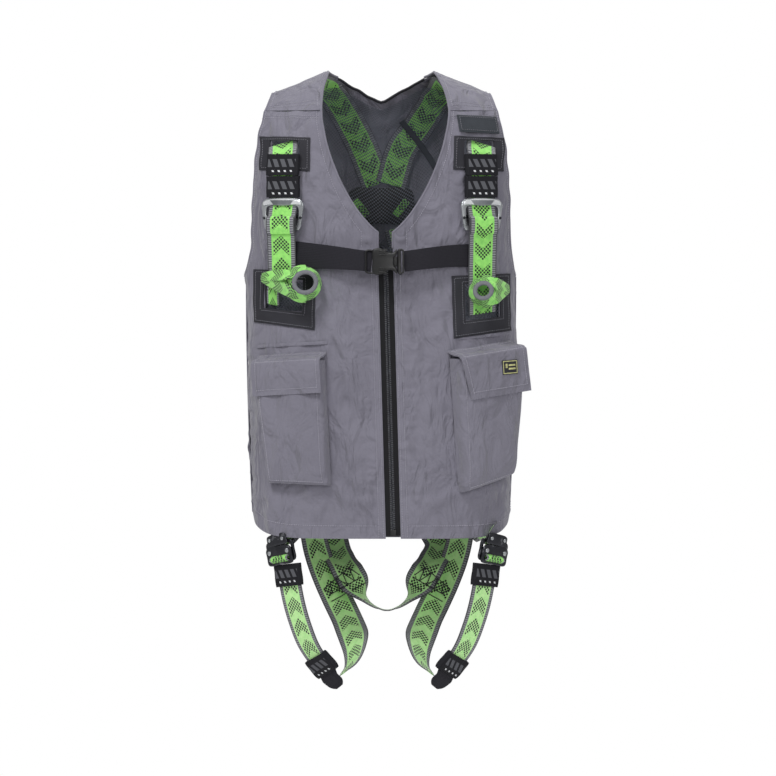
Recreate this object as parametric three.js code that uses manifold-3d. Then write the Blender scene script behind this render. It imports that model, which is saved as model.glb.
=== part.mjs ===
// Work vest with a full body harness built into it: a sleeveless zipped vest, webbing that runs between
// its shell and its mesh lining, shoulder adjusters, a chest buckle and two thigh loops.
// Millimetres, +Z up, +X to the wearer's left, the front faces -Y. The origin is on the wearer's
// shoulder line, midway between the shoulders.
import * as THREE from "three";
import { mergeVertices } from "three/addons/utils/BufferGeometryUtils.js";
import Module from "manifold-3d";

const wasm = await Module();
wasm.setup();

// ---- driving sizes ----
const chestHalf = 189; // half the width of the vest below the armholes
const hemHalf = 178; // half its width at the hem
const halfDepth = 112; // half its depth, front to back
const squareness = 2.5; // power of the rounded oblong that the vest's section is
const hemZ = -634; // height of the hem at the middle
const hemRise = 36; // how much higher the hem is at the side seams
const shoulderRound = 140; // radius over which the shell turns from the shoulder down the chest
const neckRise = 23; // height of the shoulder line at the neck
const neckHalf = 75; // half the neck opening at the shoulder line
const neckWide = 90; // half the neck opening at its widest, just below the shoulder
const neckWideZ = -35; // height of that widest place
const neckDepth = 175; // from there to the point where the neck opening meets the zip
const neckCentre = 6; // the fronts are worn this far to the wearer's left
const backNeckZ = -18; // height of the back neckline at the middle
const shoulderHalf = 153; // half the width across the shoulder tips
const shoulderDrop = 31; // fall of the shoulder line from the neck to the tip
const armOut = 28; // how far the armhole edge swings out past the shoulder tip
const armpitZ = -262; // height of the bottom of the armhole
const yokeSeamZ = -34; // height of the seam between yoke and front
const backYokeDrop = 8; // how far below the shoulder line the yoke ends at the back
const shellThick = 2.4; // shell fabric
const seamGap = 0.5; // clearance between two pieces that are sewn edge to edge
const layerGap = 0.9; // clearance between one layer and the next

const webWidth = 44; // harness webbing
const webThick = 1.8;
const webInside = -0.114 * webWidth; // depth of the webbing that runs under the shell
const webCrossing = -8.2; // depth of the webbing that crosses it on the inner side
const liningDepth = -11; // outer side of the mesh lining
const liningThick = 1;
const liningDrop = 12; // from the armhole down to the top of the lining round the body

const zipTop = -232; // top of the closed zip
const zipHalf = 10.5; // half the visible width of the zip
const zipLean = 0.028; // the zip drifts to the wearer's left by this much of its length
const teethHalf = 3; // half the width of the two rows of teeth
const teethThick = 2.6;
const tapeThick = 0.9;
const sliderLength = 13;
const sliderGap = 0.35; // clearance of the slider on the teeth
const pullLength = 16;

const strapX = -134; // middle of the right shoulder strap
const strapMirror = 1.5; // the two shoulder straps are mirrored about this
const adjusterTopZ = -157; // top edge of the adjuster
const adjusterSide = 10.5; // from the webbing's edge to the outside of the adjuster
const adjusterWidth = webWidth + 2 * adjusterSide;
const adjusterHeight = 45;
const adjusterThick = 4;
const keeperSide = 3.5; // from the webbing's edge to the outside of a keeper
const keeperWidth = webWidth + 2 * keeperSide;
const windowSide = 1; // clearance of the webbing in its window
const keeperHeight = 28.5;
const keeperThick = 8.4;
const chestStrapZ = -237; // height of the chest strap at its outer ends
const chestStrapWide = 40; // chest strap at its outer ends
const chestStrapNarrow = 30; // chest strap at the buckle
const buckleZ = -246;
const buckleWidth = 34; // chest buckle, along the webbing
const buckleHeight = 36;
const buckleThick = 13;
const buckleStandoff = 17; // from the shell to the back of the chest buckle
const prongGap = 0.5;

const pocketDepth = 15; // how far a pocket stands off the shell
const pocketWall = 2;
const flapThick = 2.4;

const legMirror = 8.4; // the two leg loops are mirrored about this
const ringWidth = 62; // dorsal ring
const ringBar = 6;
const plateWidth = 94; // dorsal plate
const plateHeight = 50;

const right = -1; // the wearer's right, on the left of a front view
const left = 1;
const front = -1;
const back = 1;

// ---- small helpers ----
const V = (x, y, z) => new THREE.Vector3(x, y, z);
const lerp = THREE.MathUtils.lerp;
const clamp = THREE.MathUtils.clamp;
const vest = new THREE.Group();

const paint = {
  twill: { color: 0x77757f, roughness: 0.9, metalness: 0 },
  patch: { color: 0x35343a, roughness: 0.85, metalness: 0 },
  mesh: { color: 0x3a4048, roughness: 0.9, metalness: 0 },
  webbing: { color: 0x8cd850, roughness: 0.75, metalness: 0 },
  darkWebbing: { color: 0x2e2d33, roughness: 0.8, metalness: 0 },
  plastic: { color: 0x2b2b30, roughness: 0.45, metalness: 0 },
  alloy: { color: 0xc9ccd0, roughness: 0.35, metalness: 1 },
  darkSteel: { color: 0x4a4a50, roughness: 0.4, metalness: 1 },
};

function add(name, geometry, kind, matrix) {
  const mesh = new THREE.Mesh(geometry, new THREE.MeshStandardMaterial(paint[kind]));
  mesh.name = name;
  if (matrix) {
    mesh.applyMatrix4(matrix);
  }
  vest.add(mesh);
  return mesh;
}

// Closed solid from a geometry whose shared vertices are merged, and back again.
function solidOf(geometry, matrix) {
  const bare = geometry.clone();
  if (matrix) {
    bare.applyMatrix4(matrix);
  }
  bare.deleteAttribute("normal");
  bare.deleteAttribute("uv");
  const merged = mergeVertices(bare, 1e-3);
  return new wasm.Manifold(
    new wasm.Mesh({
      numProp: 3,
      vertProperties: merged.attributes.position.array,
      triVerts: new Uint32Array(merged.index.array),
    }),
  );
}

function geometryOf(solid) {
  const mesh = solid.getMesh();
  return new THREE.BufferGeometry()
    .setAttribute("position", new THREE.BufferAttribute(mesh.vertProperties, 3))
    .setIndex(new THREE.BufferAttribute(mesh.triVerts, 1));
}

function box(width, depth, height, x = 0, y = 0, z = 0) {
  return new THREE.BoxGeometry(width, depth, height).translate(x, y, z);
}

function cutAll(geometry, cutters) {
  let solid = solidOf(geometry);
  for (const cutter of cutters) {
    solid = solid.subtract(solidOf(cutter));
  }
  return geometryOf(solid);
}

function joinAll(geometries) {
  let solid = solidOf(geometries[0]);
  for (const more of geometries.slice(1)) {
    solid = solid.add(solidOf(more));
  }
  return geometryOf(solid);
}

// ---- the vest's surface ----
function ridgeZ(x) {
  const share = (Math.abs(x) - neckHalf) / (shoulderHalf - neckHalf);
  return neckRise - shoulderDrop * Math.max(0, share);
}

// Half width at a height: the chest's above the pockets, then narrowing to the hem.
function halfWidthAt(z) {
  const share = clamp((z - armpitZ) / (hemZ - armpitZ), 0, 1);
  return lerp(chestHalf, hemHalf, share * share);
}

// Distance from the middle plane: full depth below the shoulder, rounding off to the shoulder line.
function depthAt(x, z) {
  const down = clamp((ridgeZ(x) - z) / shoulderRound, 0, 1);
  const rounding = Math.sqrt(1 - (1 - down) ** 2);
  const across = clamp(Math.abs(x) / halfWidthAt(z), 0, 1);
  return halfDepth * rounding * (1 - across ** squareness) ** (1 / squareness);
}

function skin(x, z, face) {
  return V(x, face * depthAt(x, z), z);
}

// Half width of the armhole edge: out from the shoulder tip, then under the arm to the side seam.
function armEdge(z) {
  const tipZ = neckRise - shoulderDrop;
  const share = clamp((tipZ - z) / (tipZ - armpitZ), 0, 1);
  const underArm = halfWidthAt(z) - shoulderHalf - armOut;
  return shoulderHalf + armOut * (1 - (1 - share) ** 4) + underArm * share ** 12;
}

// Half width of the neck opening, which closes on the zip.
function neckEdge(z) {
  if (z > neckWideZ) {
    const up = (z - neckWideZ) / (neckRise - neckWideZ);
    return neckWide - (neckWide - neckHalf) * Math.min(up, 1) ** 2;
  }
  const share = Math.min((neckWideZ - z) / neckDepth, 1);
  return Math.max(zipHalf, neckWide * (1 - share ** 1.6) ** 0.7);
}

function zipX(z) {
  return neckCentre + zipLean * Math.max(0, zipTop - z);
}

// Angle round the section at which the surface is at x, and x at an angle; both keep their sign.
function angleOf(x, z) {
  return Math.sign(x) * Math.asin(clamp((Math.abs(x) / halfWidthAt(z)) ** (squareness / 2), 0, 1));
}

function widthAt(angle, z) {
  return Math.sign(angle) * halfWidthAt(z) * Math.sin(Math.abs(angle)) ** (2 / squareness);
}

// Solid between two offsets of a grid of points, outward being away from the middle of the body.
function sheet(grid, low, high, centre = V(0, 0, -300)) {
  const rows = grid.length;
  const cols = grid[0].length;
  const normals = grid.map((line, r) =>
    line.map((point, c) => {
      const down = grid[Math.min(r + 1, rows - 1)][c].clone().sub(grid[Math.max(r - 1, 0)][c]);
      const over = line[Math.min(c + 1, cols - 1)].clone().sub(line[Math.max(c - 1, 0)]);
      return down.cross(over).normalize();
    }),
  );
  const middle = [Math.floor(rows / 2), Math.floor(cols / 2)];
  const out = grid[middle[0]][middle[1]].clone().sub(centre).dot(normals[middle[0]][middle[1]]) > 0 ? 1 : -1;
  const points = [];
  for (const offset of [low, high]) {
    grid.forEach((line, r) =>
      line.forEach((point, c) => {
        points.push(point.clone().addScaledVector(normals[r][c], out * offset));
      }),
    );
  }
  const faces = [];
  const at = (layer, r, c) => layer * rows * cols + r * cols + c;
  const quad = (a, b, c, d) => faces.push(a, b, c, a, c, d);
  for (let r = 0; r < rows - 1; r += 1) {
    for (let c = 0; c < cols - 1; c += 1) {
      quad(at(1, r, c), at(1, r + 1, c), at(1, r + 1, c + 1), at(1, r, c + 1));
      quad(at(0, r, c), at(0, r, c + 1), at(0, r + 1, c + 1), at(0, r + 1, c));
    }
    quad(at(0, r, 0), at(0, r + 1, 0), at(1, r + 1, 0), at(1, r, 0));
    quad(at(1, r, cols - 1), at(1, r + 1, cols - 1), at(0, r + 1, cols - 1), at(0, r, cols - 1));
  }
  for (let c = 0; c < cols - 1; c += 1) {
    quad(at(1, 0, c), at(1, 0, c + 1), at(0, 0, c + 1), at(0, 0, c));
    quad(at(0, rows - 1, c), at(0, rows - 1, c + 1), at(1, rows - 1, c + 1), at(1, rows - 1, c));
  }
  if (out < 0) {
    faces.reverse();
  }
  return new THREE.BufferGeometry()
    .setAttribute("position", new THREE.Float32BufferAttribute(points.flatMap((p) => [p.x, p.y, p.z]), 3))
    .setIndex(faces);
}

// Frame on the surface: local X to the wearer's left, local Y up, local Z outward.
function frameAt(x, z, face, offset = 0, roll = 0) {
  const step = 2;
  const over = skin(x + step, z, face).sub(skin(x - step, z, face));
  const up = skin(x, z + step, face).sub(skin(x, z - step, face));
  const across = over.clone().multiplyScalar(-face).normalize();
  const out = across.clone().cross(up).normalize();
  const rise = out.clone().cross(across).normalize();
  const turn = new THREE.Matrix4().makeBasis(across, rise, out);
  turn.multiply(new THREE.Matrix4().makeRotationZ(roll));
  return turn.setPosition(skin(x, z, face).addScaledVector(out, offset));
}

// Middle line of webbing through points [x, z, offset] on the surface.
function surfacePath(points, face) {
  const curve = new THREE.CatmullRomCurve3(points.map(([x, z, offset]) => V(x, z, offset)), false, "centripetal");
  return curve.getPoints((points.length - 1) * 4).map((p) => {
    const frame = frameAt(p.x, p.y, face, p.z);
    return new THREE.Vector3().setFromMatrixPosition(frame);
  });
}

// Flat webbing through points, wide along the directions given, thick along the third direction.
function ribbon(points, wideness, width, thick) {
  const last = points.length - 1;
  const grid = points.map((point, i) => {
    const along = points[Math.min(i + 1, last)].clone().sub(points[Math.max(i - 1, 0)]).normalize();
    const wide = (Array.isArray(wideness) ? wideness[i] : wideness).clone();
    wide.addScaledVector(along, -wide.dot(along)).normalize();
    const half = (typeof width === "function" ? width(i / last) : width) / 2;
    return [-half, half].map((w) => point.clone().addScaledVector(wide, w));
  });
  return sheet(grid, -thick / 2, thick / 2);
}

// Webbing that lies on the surface, its width level and in the surface.
function surfaceRibbon(points, face, width = webWidth, thick = webThick) {
  const path = surfacePath(points, face);
  const wide = path.map((p) => {
    const frame = frameAt(p.x, p.z, face);
    return new THREE.Vector3().setFromMatrixColumn(frame, 0);
  });
  return ribbon(path, wide, width, thick);
}

// ---- shell ----
const panelCols = 14;
const panelRows = 16;

function hemAt(share) {
  return hemZ + hemRise * Math.abs(share) ** 4;
}

// Half of the front, from the zip and the neck edge out to the armhole and the side seam.
function frontGrid(side, topZ, cols = panelCols, rows = panelRows) {
  const grid = [];
  for (let r = 0; r <= rows; r += 1) {
    const line = [];
    for (let c = 0; c <= cols; c += 1) {
      const share = c / cols;
      const z = lerp(topZ, hemAt(share), r / rows);
      const middle = z > zipTop ? neckCentre : zipX(z);
      const inner = neckEdge(z) + side * middle;
      const outer = z > armpitZ ? armEdge(z) : halfWidthAt(z);
      const a = angleOf(inner, z);
      const b = Math.min(angleOf(outer, z), Math.PI / 2 - 1e-3);
      line.push(skin(side * widthAt(lerp(a, b, share), z), z, front));
    }
    grid.push(line);
  }
  return grid;
}

// Top edge of the back: the curved neckline between the yokes, then the yoke seams.
function backTop(x) {
  const share = Math.min(Math.abs(x) / neckHalf, 1);
  return lerp(backNeckZ, neckRise, share ** 2.5) - backYokeDrop * share ** 2.5 - (neckRise - ridgeZ(x));
}

function backGrid(cols, rows, drop = 0) {
  const grid = [];
  for (let r = 0; r <= rows; r += 1) {
    const line = [];
    for (let c = 0; c <= cols; c += 1) {
      const share = (2 * c) / cols - 1;
      let x = share * shoulderHalf;
      let z = 0;
      for (let pass = 0; pass < 6; pass += 1) {
        z = lerp(backTop(x) - drop, hemAt(share), (r / rows) ** 1.5);
        const outer = z > armpitZ ? armEdge(z) : halfWidthAt(z);
        const limit = Math.min(angleOf(outer, z), Math.PI / 2 - 1e-3);
        x = Math.sign(share) * widthAt(Math.abs(share) * limit, z);
      }
      line.push(skin(x, z, back));
    }
    grid.push(line);
  }
  return grid;
}

// Yoke over one shoulder, from the front seam across the shoulder line to the back seam.
function yokeGrid(side, cols = 5, rows = 10) {
  const grid = [];
  for (let r = 0; r <= rows; r += 1) {
    const way = lerp(1, -1, r / rows);
    const line = [];
    for (let c = 0; c <= cols; c += 1) {
      let x = lerp(neckHalf, shoulderHalf, c / cols);
      let z = 0;
      for (let pass = 0; pass < 8; pass += 1) {
        const fall = way > 0 ? ridgeZ(x) - (yokeSeamZ + seamGap) : backYokeDrop - seamGap;
        const angle = Math.abs(way) * Math.acos(1 - fall / shoulderRound);
        z = ridgeZ(x) - shoulderRound * (1 - Math.cos(angle));
        const inner = way > 0 ? neckEdge(z) + side * neckCentre * way : neckHalf;
        x = lerp(inner, armEdge(z), c / cols);
      }
      line.push(skin(side * x, z, way > 0 ? front : back));
    }
    grid.push(line);
  }
  return grid;
}

const windowOf = {}; // windows through the shell, each a cutter in the body's frame

function windowCutter(x, z, width, height, face = front, roll = 0) {
  return new THREE.BoxGeometry(width, height, 26).applyMatrix4(frameAt(x, z, face, 0, roll));
}

function strapPlace(side) {
  return side === right ? strapX : 2 * strapMirror - strapX;
}

const upperWindow = { z: -86, width: webWidth * 1.04 + 2 * windowSide, height: 20 };
const lowerWindow = {
  [right]: { x: -136, z: -292, width: webWidth + 18, height: 44, patchEdge: 177 },
  [left]: { x: 142, z: -301, width: webWidth + 14, height: 50, patchEdge: 181 },
};

for (const side of [right, left]) {
  const hand = side === right ? "right" : "left";
  const low = lowerWindow[side];
  windowOf[hand] = [
    windowCutter(strapPlace(side), upperWindow.z, upperWindow.width, upperWindow.height),
    windowCutter(low.x, low.z, low.width, low.height),
  ];
  const grid = frontGrid(side, yokeSeamZ - seamGap);
  add(`front_panel_${hand}`, cutAll(sheet(grid, -shellThick, 0), windowOf[hand]), "twill");
  add(`shoulder_yoke_${hand}`, sheet(yokeGrid(side), -shellThick, 0), "twill");
}

const dorsalZ = -165; // height of the dorsal plate's middle
const dorsalWindow = windowCutter(0, dorsalZ, plateWidth - 24, plateHeight - 14, back);
add("back_panel", cutAll(sheet(backGrid(24, panelRows, seamGap), -shellThick, 0), [dorsalWindow]), "twill");

// Mesh lining: a band right round the body below the armholes, and the upper back.
const liningJoinZ = armpitZ + 22;

function liningBand(cols = 2 * Math.round(chestHalf / 14), rows = 7) {
  const grid = [];
  for (let r = 0; r <= rows; r += 1) {
    const line = [];
    for (let c = 0; c <= cols; c += 1) {
      const turn = lerp(-1, 1, c / cols) * 2;
      const share = Math.abs(turn) > 1 ? 2 - Math.abs(turn) : Math.abs(turn);
      const z = lerp(armpitZ - liningDrop, hemAt(share) + 12, r / rows);
      const inner = Math.abs(turn) > 1 ? angleOf(zipHalf + 14, z) : 0;
      const angle = lerp(inner, Math.PI / 2, share);
      line.push(skin(Math.sign(turn) * widthAt(angle, z), z, Math.abs(turn) > 1 ? front : back));
    }
    grid.push(line);
  }
  return grid;
}

function liningBack() {
  const grid = backGrid(16, 12, 5);
  return grid.filter((line) => line[0].z > armpitZ + 8);
}

add("mesh_lining_body", sheet(liningBand(), liningDepth - liningThick, liningDepth), "mesh");
add("mesh_lining_back", sheet(liningBack(), liningDepth - liningThick, liningDepth), "mesh");

// ---- patches on the shell ----
// Patch with straight sides that follows the surface: corners are [x, z], top row first.
function patchGrid(corners, face, cols = 7, rows = 4) {
  const grid = [];
  for (let r = 0; r <= rows; r += 1) {
    const line = [];
    for (let c = 0; c <= cols; c += 1) {
      const [a, b, d, e] = corners;
      const top = [lerp(a[0], b[0], c / cols), lerp(a[1], b[1], c / cols)];
      const foot = [lerp(d[0], e[0], c / cols), lerp(d[1], e[1], c / cols)];
      line.push(skin(lerp(top[0], foot[0], r / rows), lerp(top[1], foot[1], r / rows), face));
    }
    grid.push(line);
  }
  return grid;
}

const patchThick = 1.2;
const upperPatch = { half: 35, top: 16, foot: 31, spread: 1 };

for (const side of [right, left]) {
  const hand = side === right ? "right" : "left";
  const x = strapPlace(side);
  const z = upperWindow.z;
  const { half, top, foot, spread } = upperPatch;
  const upper = [
    [x - half, z + top],
    [x + half, z + top - 2],
    [x - half - spread, z - foot],
    [x + half - spread, z - foot - 2],
  ];
  const cutters = windowOf[hand];
  const solid = sheet(patchGrid(upper, front), layerGap, layerGap + patchThick);
  add(`upper_patch_${hand}`, cutAll(solid, [cutters[0]]), "patch");
  const low = lowerWindow[side];
  const inner = low.x - side * (low.width / 2 + 14);
  const outer = side * low.patchEdge;
  const lower = [
    [inner, low.z + low.height / 2 + 10],
    [outer, low.z + low.height / 2 + 14],
    [inner + side * 2, low.z - low.height / 2 - 28],
    [outer, low.z - low.height / 2 - 16],
  ];
  const lowSolid = sheet(patchGrid(lower, front, 9, 5), layerGap, layerGap + patchThick);
  add(`lower_patch_${hand}`, cutAll(lowSolid, [cutters[1]]), "patch");
}

const namePanel = { x: 135, z: -54, width: 64, height: 26, thick: 2.4 };
const nameFrame = frameAt(namePanel.x, namePanel.z, front, layerGap + 1.2, -0.045);
add("name_panel", box(namePanel.width, namePanel.height, namePanel.thick, 0, 0, namePanel.thick / 2), "patch",
  nameFrame);

// ---- zip ----
// The teeth of each side stop just short of the middle, where the slider's web runs.
const zipY = -depthAt(zipX(zipTop), zipTop);
const webHalf = 0.5;
const zipFoot = hemZ + 4;

function zipTape(side) {
  const length = zipTop - zipFoot;
  const inner = webHalf + sliderGap;
  const tape = box(zipHalf - inner - seamGap, tapeThick, length);
  tape.translate((side * (zipHalf + inner - seamGap)) / 2, 0, -length / 2);
  const teeth = box(teethHalf - inner, teethThick, length - 2);
  teeth.translate((side * (teethHalf + inner)) / 2, 0, -length / 2);
  return joinAll([tape, teeth]);
}

const zipFrame = new THREE.Matrix4()
  .makeRotationY(-Math.atan(zipLean))
  .setPosition(zipX(zipTop), zipY + tapeThick / 2, zipTop);
add("zip_tape_right", zipTape(right), "darkWebbing", zipFrame);
add("zip_tape_left", zipTape(left), "darkWebbing", zipFrame);

const sliderPlate = 1.4;
const sliderHalf = teethHalf + 1.6;
const sliderReach = teethThick / 2 + sliderGap;

function sliderBody() {
  const pieces = [box(2 * webHalf, 2 * sliderReach + sliderPlate, sliderLength)];
  for (const face of [front, back]) {
    pieces.push(box(2 * sliderHalf, sliderPlate, sliderLength, 0, face * (sliderReach + sliderPlate / 2), 0));
  }
  for (const side of [right, left]) {
    pieces.push(box(1.6, 2.2, 3, side * 2.6, -sliderReach - sliderPlate - 0.9, 0));
  }
  return joinAll(pieces);
}

const sliderMiddle = -sliderLength / 2 - 1;
const sliderFrame = zipFrame.clone().multiply(new THREE.Matrix4().makeTranslation(0, 0, sliderMiddle));
add("zip_slider", sliderBody(), "darkSteel", sliderFrame);

// Pull: a flat tab on a crossbar that lies between the slider's two lugs.
const pullBar = 1.5;
const pullDepth = sliderReach + sliderPlate + 1;
const pullTab = joinAll([
  box(3, pullBar, pullBar, 0, -pullDepth - 0.1, 0),
  box(2.6, 1.2, pullLength, 0, -pullDepth - 0.1, -pullLength / 2),
]);
add("zip_pull", pullTab, "darkSteel", sliderFrame);

// ---- shoulder webbing ----
const barThick = 2;
const barHeight = 5;
const barDrop = 26; // from the adjuster's top edge to the slide bar
const strapOff = 7; // middle of the webbing above the shell, over the patches

function hands() {
  return [
    { side: right, hand: "right", x: strapPlace(right) },
    { side: left, hand: "left", x: strapPlace(left) },
  ];
}

for (const { side, hand, x } of hands()) {
  const lean = side * 2;
  const top = upperWindow.z + upperWindow.height / 2 - 3;
  const strap = surfaceRibbon(
    [
      [x, top, webInside + 1.5],
      [x, top - 8, 1],
      [x, top - 18, strapOff],
      [x, adjusterTopZ + 30, strapOff],
      [x, adjusterTopZ - 6, strapOff - 0.8],
    ],
    front,
  );
  add(`shoulder_strap_${hand}`, strap, "webbing");
  const low = lowerWindow[side];
  const foot = low.z - low.height / 2 + 8;
  const webbing = surfaceRibbon(
    [
      [x, adjusterTopZ - 11, strapOff + 0.6],
      [x, adjusterTopZ - barDrop + 2, strapOff + 6],
      [x, adjusterTopZ - adjusterHeight, strapOff + 6],
      [x + lean, adjusterTopZ - adjusterHeight - 30, strapOff],
      [x + lean, low.z + low.height / 2, strapOff - 1],
      [x + lean, low.z - 2, -1],
      [x + lean, foot, webInside],
    ],
    front,
  );
  add(`front_webbing_${hand}`, webbing, "webbing");
}

// ---- adjusters ----
const adjusterBarTop = 10; // height of the arched top bar
const adjusterLeg = 8;
const adjusterFoot = 6;

function adjusterShape() {
  const w = adjusterWidth / 2;
  const shape = new THREE.Shape();
  shape.moveTo(-w, -adjusterBarTop + 2);
  shape.quadraticCurveTo(-w, -2, -w * 0.55, 0);
  shape.quadraticCurveTo(0, 2.5, w * 0.55, 0);
  shape.quadraticCurveTo(w, -2, w, -adjusterBarTop + 2);
  shape.lineTo(w - 5, -adjusterHeight);
  shape.lineTo(-w + 5, -adjusterHeight);
  shape.closePath();
  const hole = new THREE.Path();
  const inner = w - adjusterLeg;
  hole.moveTo(-inner, -adjusterBarTop);
  hole.lineTo(-inner, -adjusterHeight + adjusterFoot);
  hole.lineTo(inner, -adjusterHeight + adjusterFoot);
  hole.lineTo(inner, -adjusterBarTop);
  hole.closePath();
  shape.holes.push(hole);
  return shape;
}

for (const { hand, x } of hands()) {
  const frame = frameAt(x, adjusterTopZ, front, strapOff - webThick / 2 - 0.4);
  const geometry = new THREE.ExtrudeGeometry(adjusterShape(), {
    depth: adjusterThick,
    bevelEnabled: false,
    curveSegments: 5,
  });
  const solid = cutAll(geometry, [
    box(webWidth + 3, adjusterBarTop + 8, 2 * webThick + 1.5, 0, -adjusterBarTop / 2, 0),
  ]);
  add(`adjuster_${hand}`, solid, "alloy", frame);
  const bar = box(adjusterWidth - 2 * adjusterLeg - 1, barHeight, barThick, 0, -barDrop, barThick / 2);
  add(`adjuster_bar_${hand}`, bar, "darkSteel", frame);
}

// ---- keepers ----
function keeper(width, height, thick, wall = 1.1) {
  return cutAll(box(width, height, thick), [
    box(width - 2 * wall, height + 2, thick - 2 * wall),
  ]);
}

for (const { hand, x } of hands()) {
  for (const [name, z] of [
    ["upper", adjusterTopZ + 3 + keeperHeight * 1.5 + seamGap],
    ["lower", adjusterTopZ + 3 + keeperHeight * 0.5],
  ]) {
    const frame = frameAt(x, z, front, strapOff + 0.1);
    add(`keeper_${name}_${hand}`, keeper(keeperWidth, keeperHeight, keeperThick), "darkWebbing", frame);
  }
}

// ---- front textile loops ----
// Each loop is a band of webbing folded into a ring; it stands on its edge at the end of a folded root.
const loopRing = {
  [right]: { x: -101, z: -276, radius: 17, width: 22, root: -150, rootZ: -270, tilt: 0.35, off: 24 },
  [left]: { x: 134, z: -289, radius: 18, width: 20, root: 158, rootZ: -283, tilt: 0.1, off: 22 },
};
const loopThick = 2.2;

function loopSolid(ring, side) {
  const outer = new THREE.CylinderGeometry(ring.radius, ring.radius, ring.width, 20).rotateX(Math.PI / 2);
  const bore = new THREE.CylinderGeometry(
    ring.radius - loopThick,
    ring.radius - loopThick,
    ring.width + 2,
    20,
  ).rotateX(Math.PI / 2);
  const reach = Math.abs(ring.root - ring.x);
  const tongue = new THREE.Shape();
  tongue.moveTo(0, -ring.width * 0.4);
  tongue.lineTo(reach, -3);
  tongue.lineTo(reach, 3);
  tongue.lineTo(0, ring.width * 0.4);
  tongue.closePath();
  const root = new THREE.ExtrudeGeometry(tongue, { depth: 2 * loopThick, bevelEnabled: false });
  root.translate(0, 0, -loopThick).rotateX(Math.PI / 2);
  if (side === right) {
    root.rotateY(Math.PI);
  }
  return geometryOf(solidOf(outer).add(solidOf(root)).subtract(solidOf(bore)));
}

for (const { side, hand } of hands()) {
  const ring = loopRing[side];
  const frame = frameAt(ring.x, ring.z, front, ring.off, 0);
  frame.multiply(new THREE.Matrix4().makeRotationY(side * ring.tilt));
  add(`front_loop_${hand}`, loopSolid(ring, side), "webbing", frame);
}

// ---- chest strap and its buckle ----
const chestY = zipY - buckleStandoff; // back of the buckle
const buckleX = zipX(zipTop) - 1;
const tunnelWide = 27; // the plug's tongue
const bodyWall = 2;

function buckleShell() {
  const shape = new THREE.Shape();
  const h = buckleHeight / 2;
  const w = buckleWidth / 2;
  shape.moveTo(-w, -h + 4);
  shape.quadraticCurveTo(-w, -h, -w + 4, -h);
  shape.lineTo(-2, -h);
  shape.quadraticCurveTo(w * 0.45, -h + 8, w, -h + 1);
  shape.lineTo(w, h - 1);
  shape.quadraticCurveTo(w * 0.45, h - 8, -2, h);
  shape.lineTo(-w + 4, h);
  shape.quadraticCurveTo(-w, h, -w, h - 4);
  shape.closePath();
  const geometry = new THREE.ExtrudeGeometry(shape, {
    depth: buckleThick,
    bevelEnabled: false,
    curveSegments: 5,
  });
  return geometry.rotateX(Math.PI / 2);
}

const chestFrame = new THREE.Matrix4().makeTranslation(buckleX, chestY, buckleZ);

// Body: the shell with the tunnel that the plug goes into and the loop that holds the webbing.
function buckleBody() {
  const tunnel = box(buckleWidth - 5, buckleThick - 2 * bodyWall, tunnelWide + 2, 5, -buckleThick / 2, 0);
  const loopX = -buckleWidth / 2 - 5;
  const loop = cutAll(box(13, 6, chestStrapNarrow + 5, loopX, -buckleThick / 2, 0), [
    box(6.4, 8, chestStrapNarrow + 1, loopX, -buckleThick / 2, 0),
  ]);
  return cutAll(joinAll([buckleShell(), loop]), [tunnel]);
}

add("buckle_body", buckleBody(), "plastic", chestFrame);

const plugFlange = 8;

// Plug: a tongue between the prongs and a flange with the slot of the webbing.
function bucklePlug() {
  const tongue = box(buckleWidth - 9, 4, tunnelWide - 12, 6.5, -buckleThick / 2, 0);
  const flange = box(plugFlange, buckleThick - 1, buckleHeight, buckleWidth / 2 + 1 + plugFlange / 2,
    -buckleThick / 2, 0);
  const slot = box(3.4, 20, chestStrapNarrow, buckleWidth / 2 + 4 + plugFlange / 2, -buckleThick / 2, 0);
  return cutAll(joinAll([tongue, flange]), [slot]);
}

add("buckle_plug", bucklePlug(), "plastic", chestFrame);

const prongLength = buckleWidth - 9;
for (const [name, way] of [
  ["upper", 1],
  ["lower", -1],
]) {
  const z = way * ((tunnelWide - 12) / 2 + prongGap + 1.5);
  const prong = box(prongLength, 5, 3, buckleWidth / 2 + 0.5 - prongLength / 2 - prongGap, -buckleThick / 2, z);
  add(`buckle_prong_${name}`, prong, "plastic", chestFrame);
}

// The strap halves pass under the shoulder webbing and end in the loops of the buckle.
function chestStrap(side) {
  const outerX = strapPlace(side) - side * (webWidth / 2 - 8);
  const reach = side === right ? buckleWidth / 2 + 14 : buckleWidth / 2 + plugFlange + 1.4;
  const endX = buckleX + side * reach;
  const endY = chestY - buckleThick / 2;
  const wide = side === right ? chestStrapWide : chestStrapNarrow;
  const under = skin(outerX, chestStrapZ, front).add(V(0, -3.4, 0));
  const bend = V(outerX - side * 24, skin(outerX - side * 24, chestStrapZ, front).y - 9, chestStrapZ - 1);
  const mid = V(lerp(bend.x, endX, 0.5), lerp(bend.y, endY, 0.7), lerp(chestStrapZ, buckleZ, 0.5));
  const end = V(endX, endY, buckleZ);
  const points = new THREE.CatmullRomCurve3([under, bend, mid, end], false, "centripetal").getPoints(12);
  return ribbon(points, V(0, 0, 1), (t) => lerp(wide, chestStrapNarrow - 2, Math.min(1, t * 1.3)), 1.4);
}

add("chest_strap_right", chestStrap(right), "darkWebbing");
add("chest_strap_left", chestStrap(left), "darkWebbing");

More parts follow.
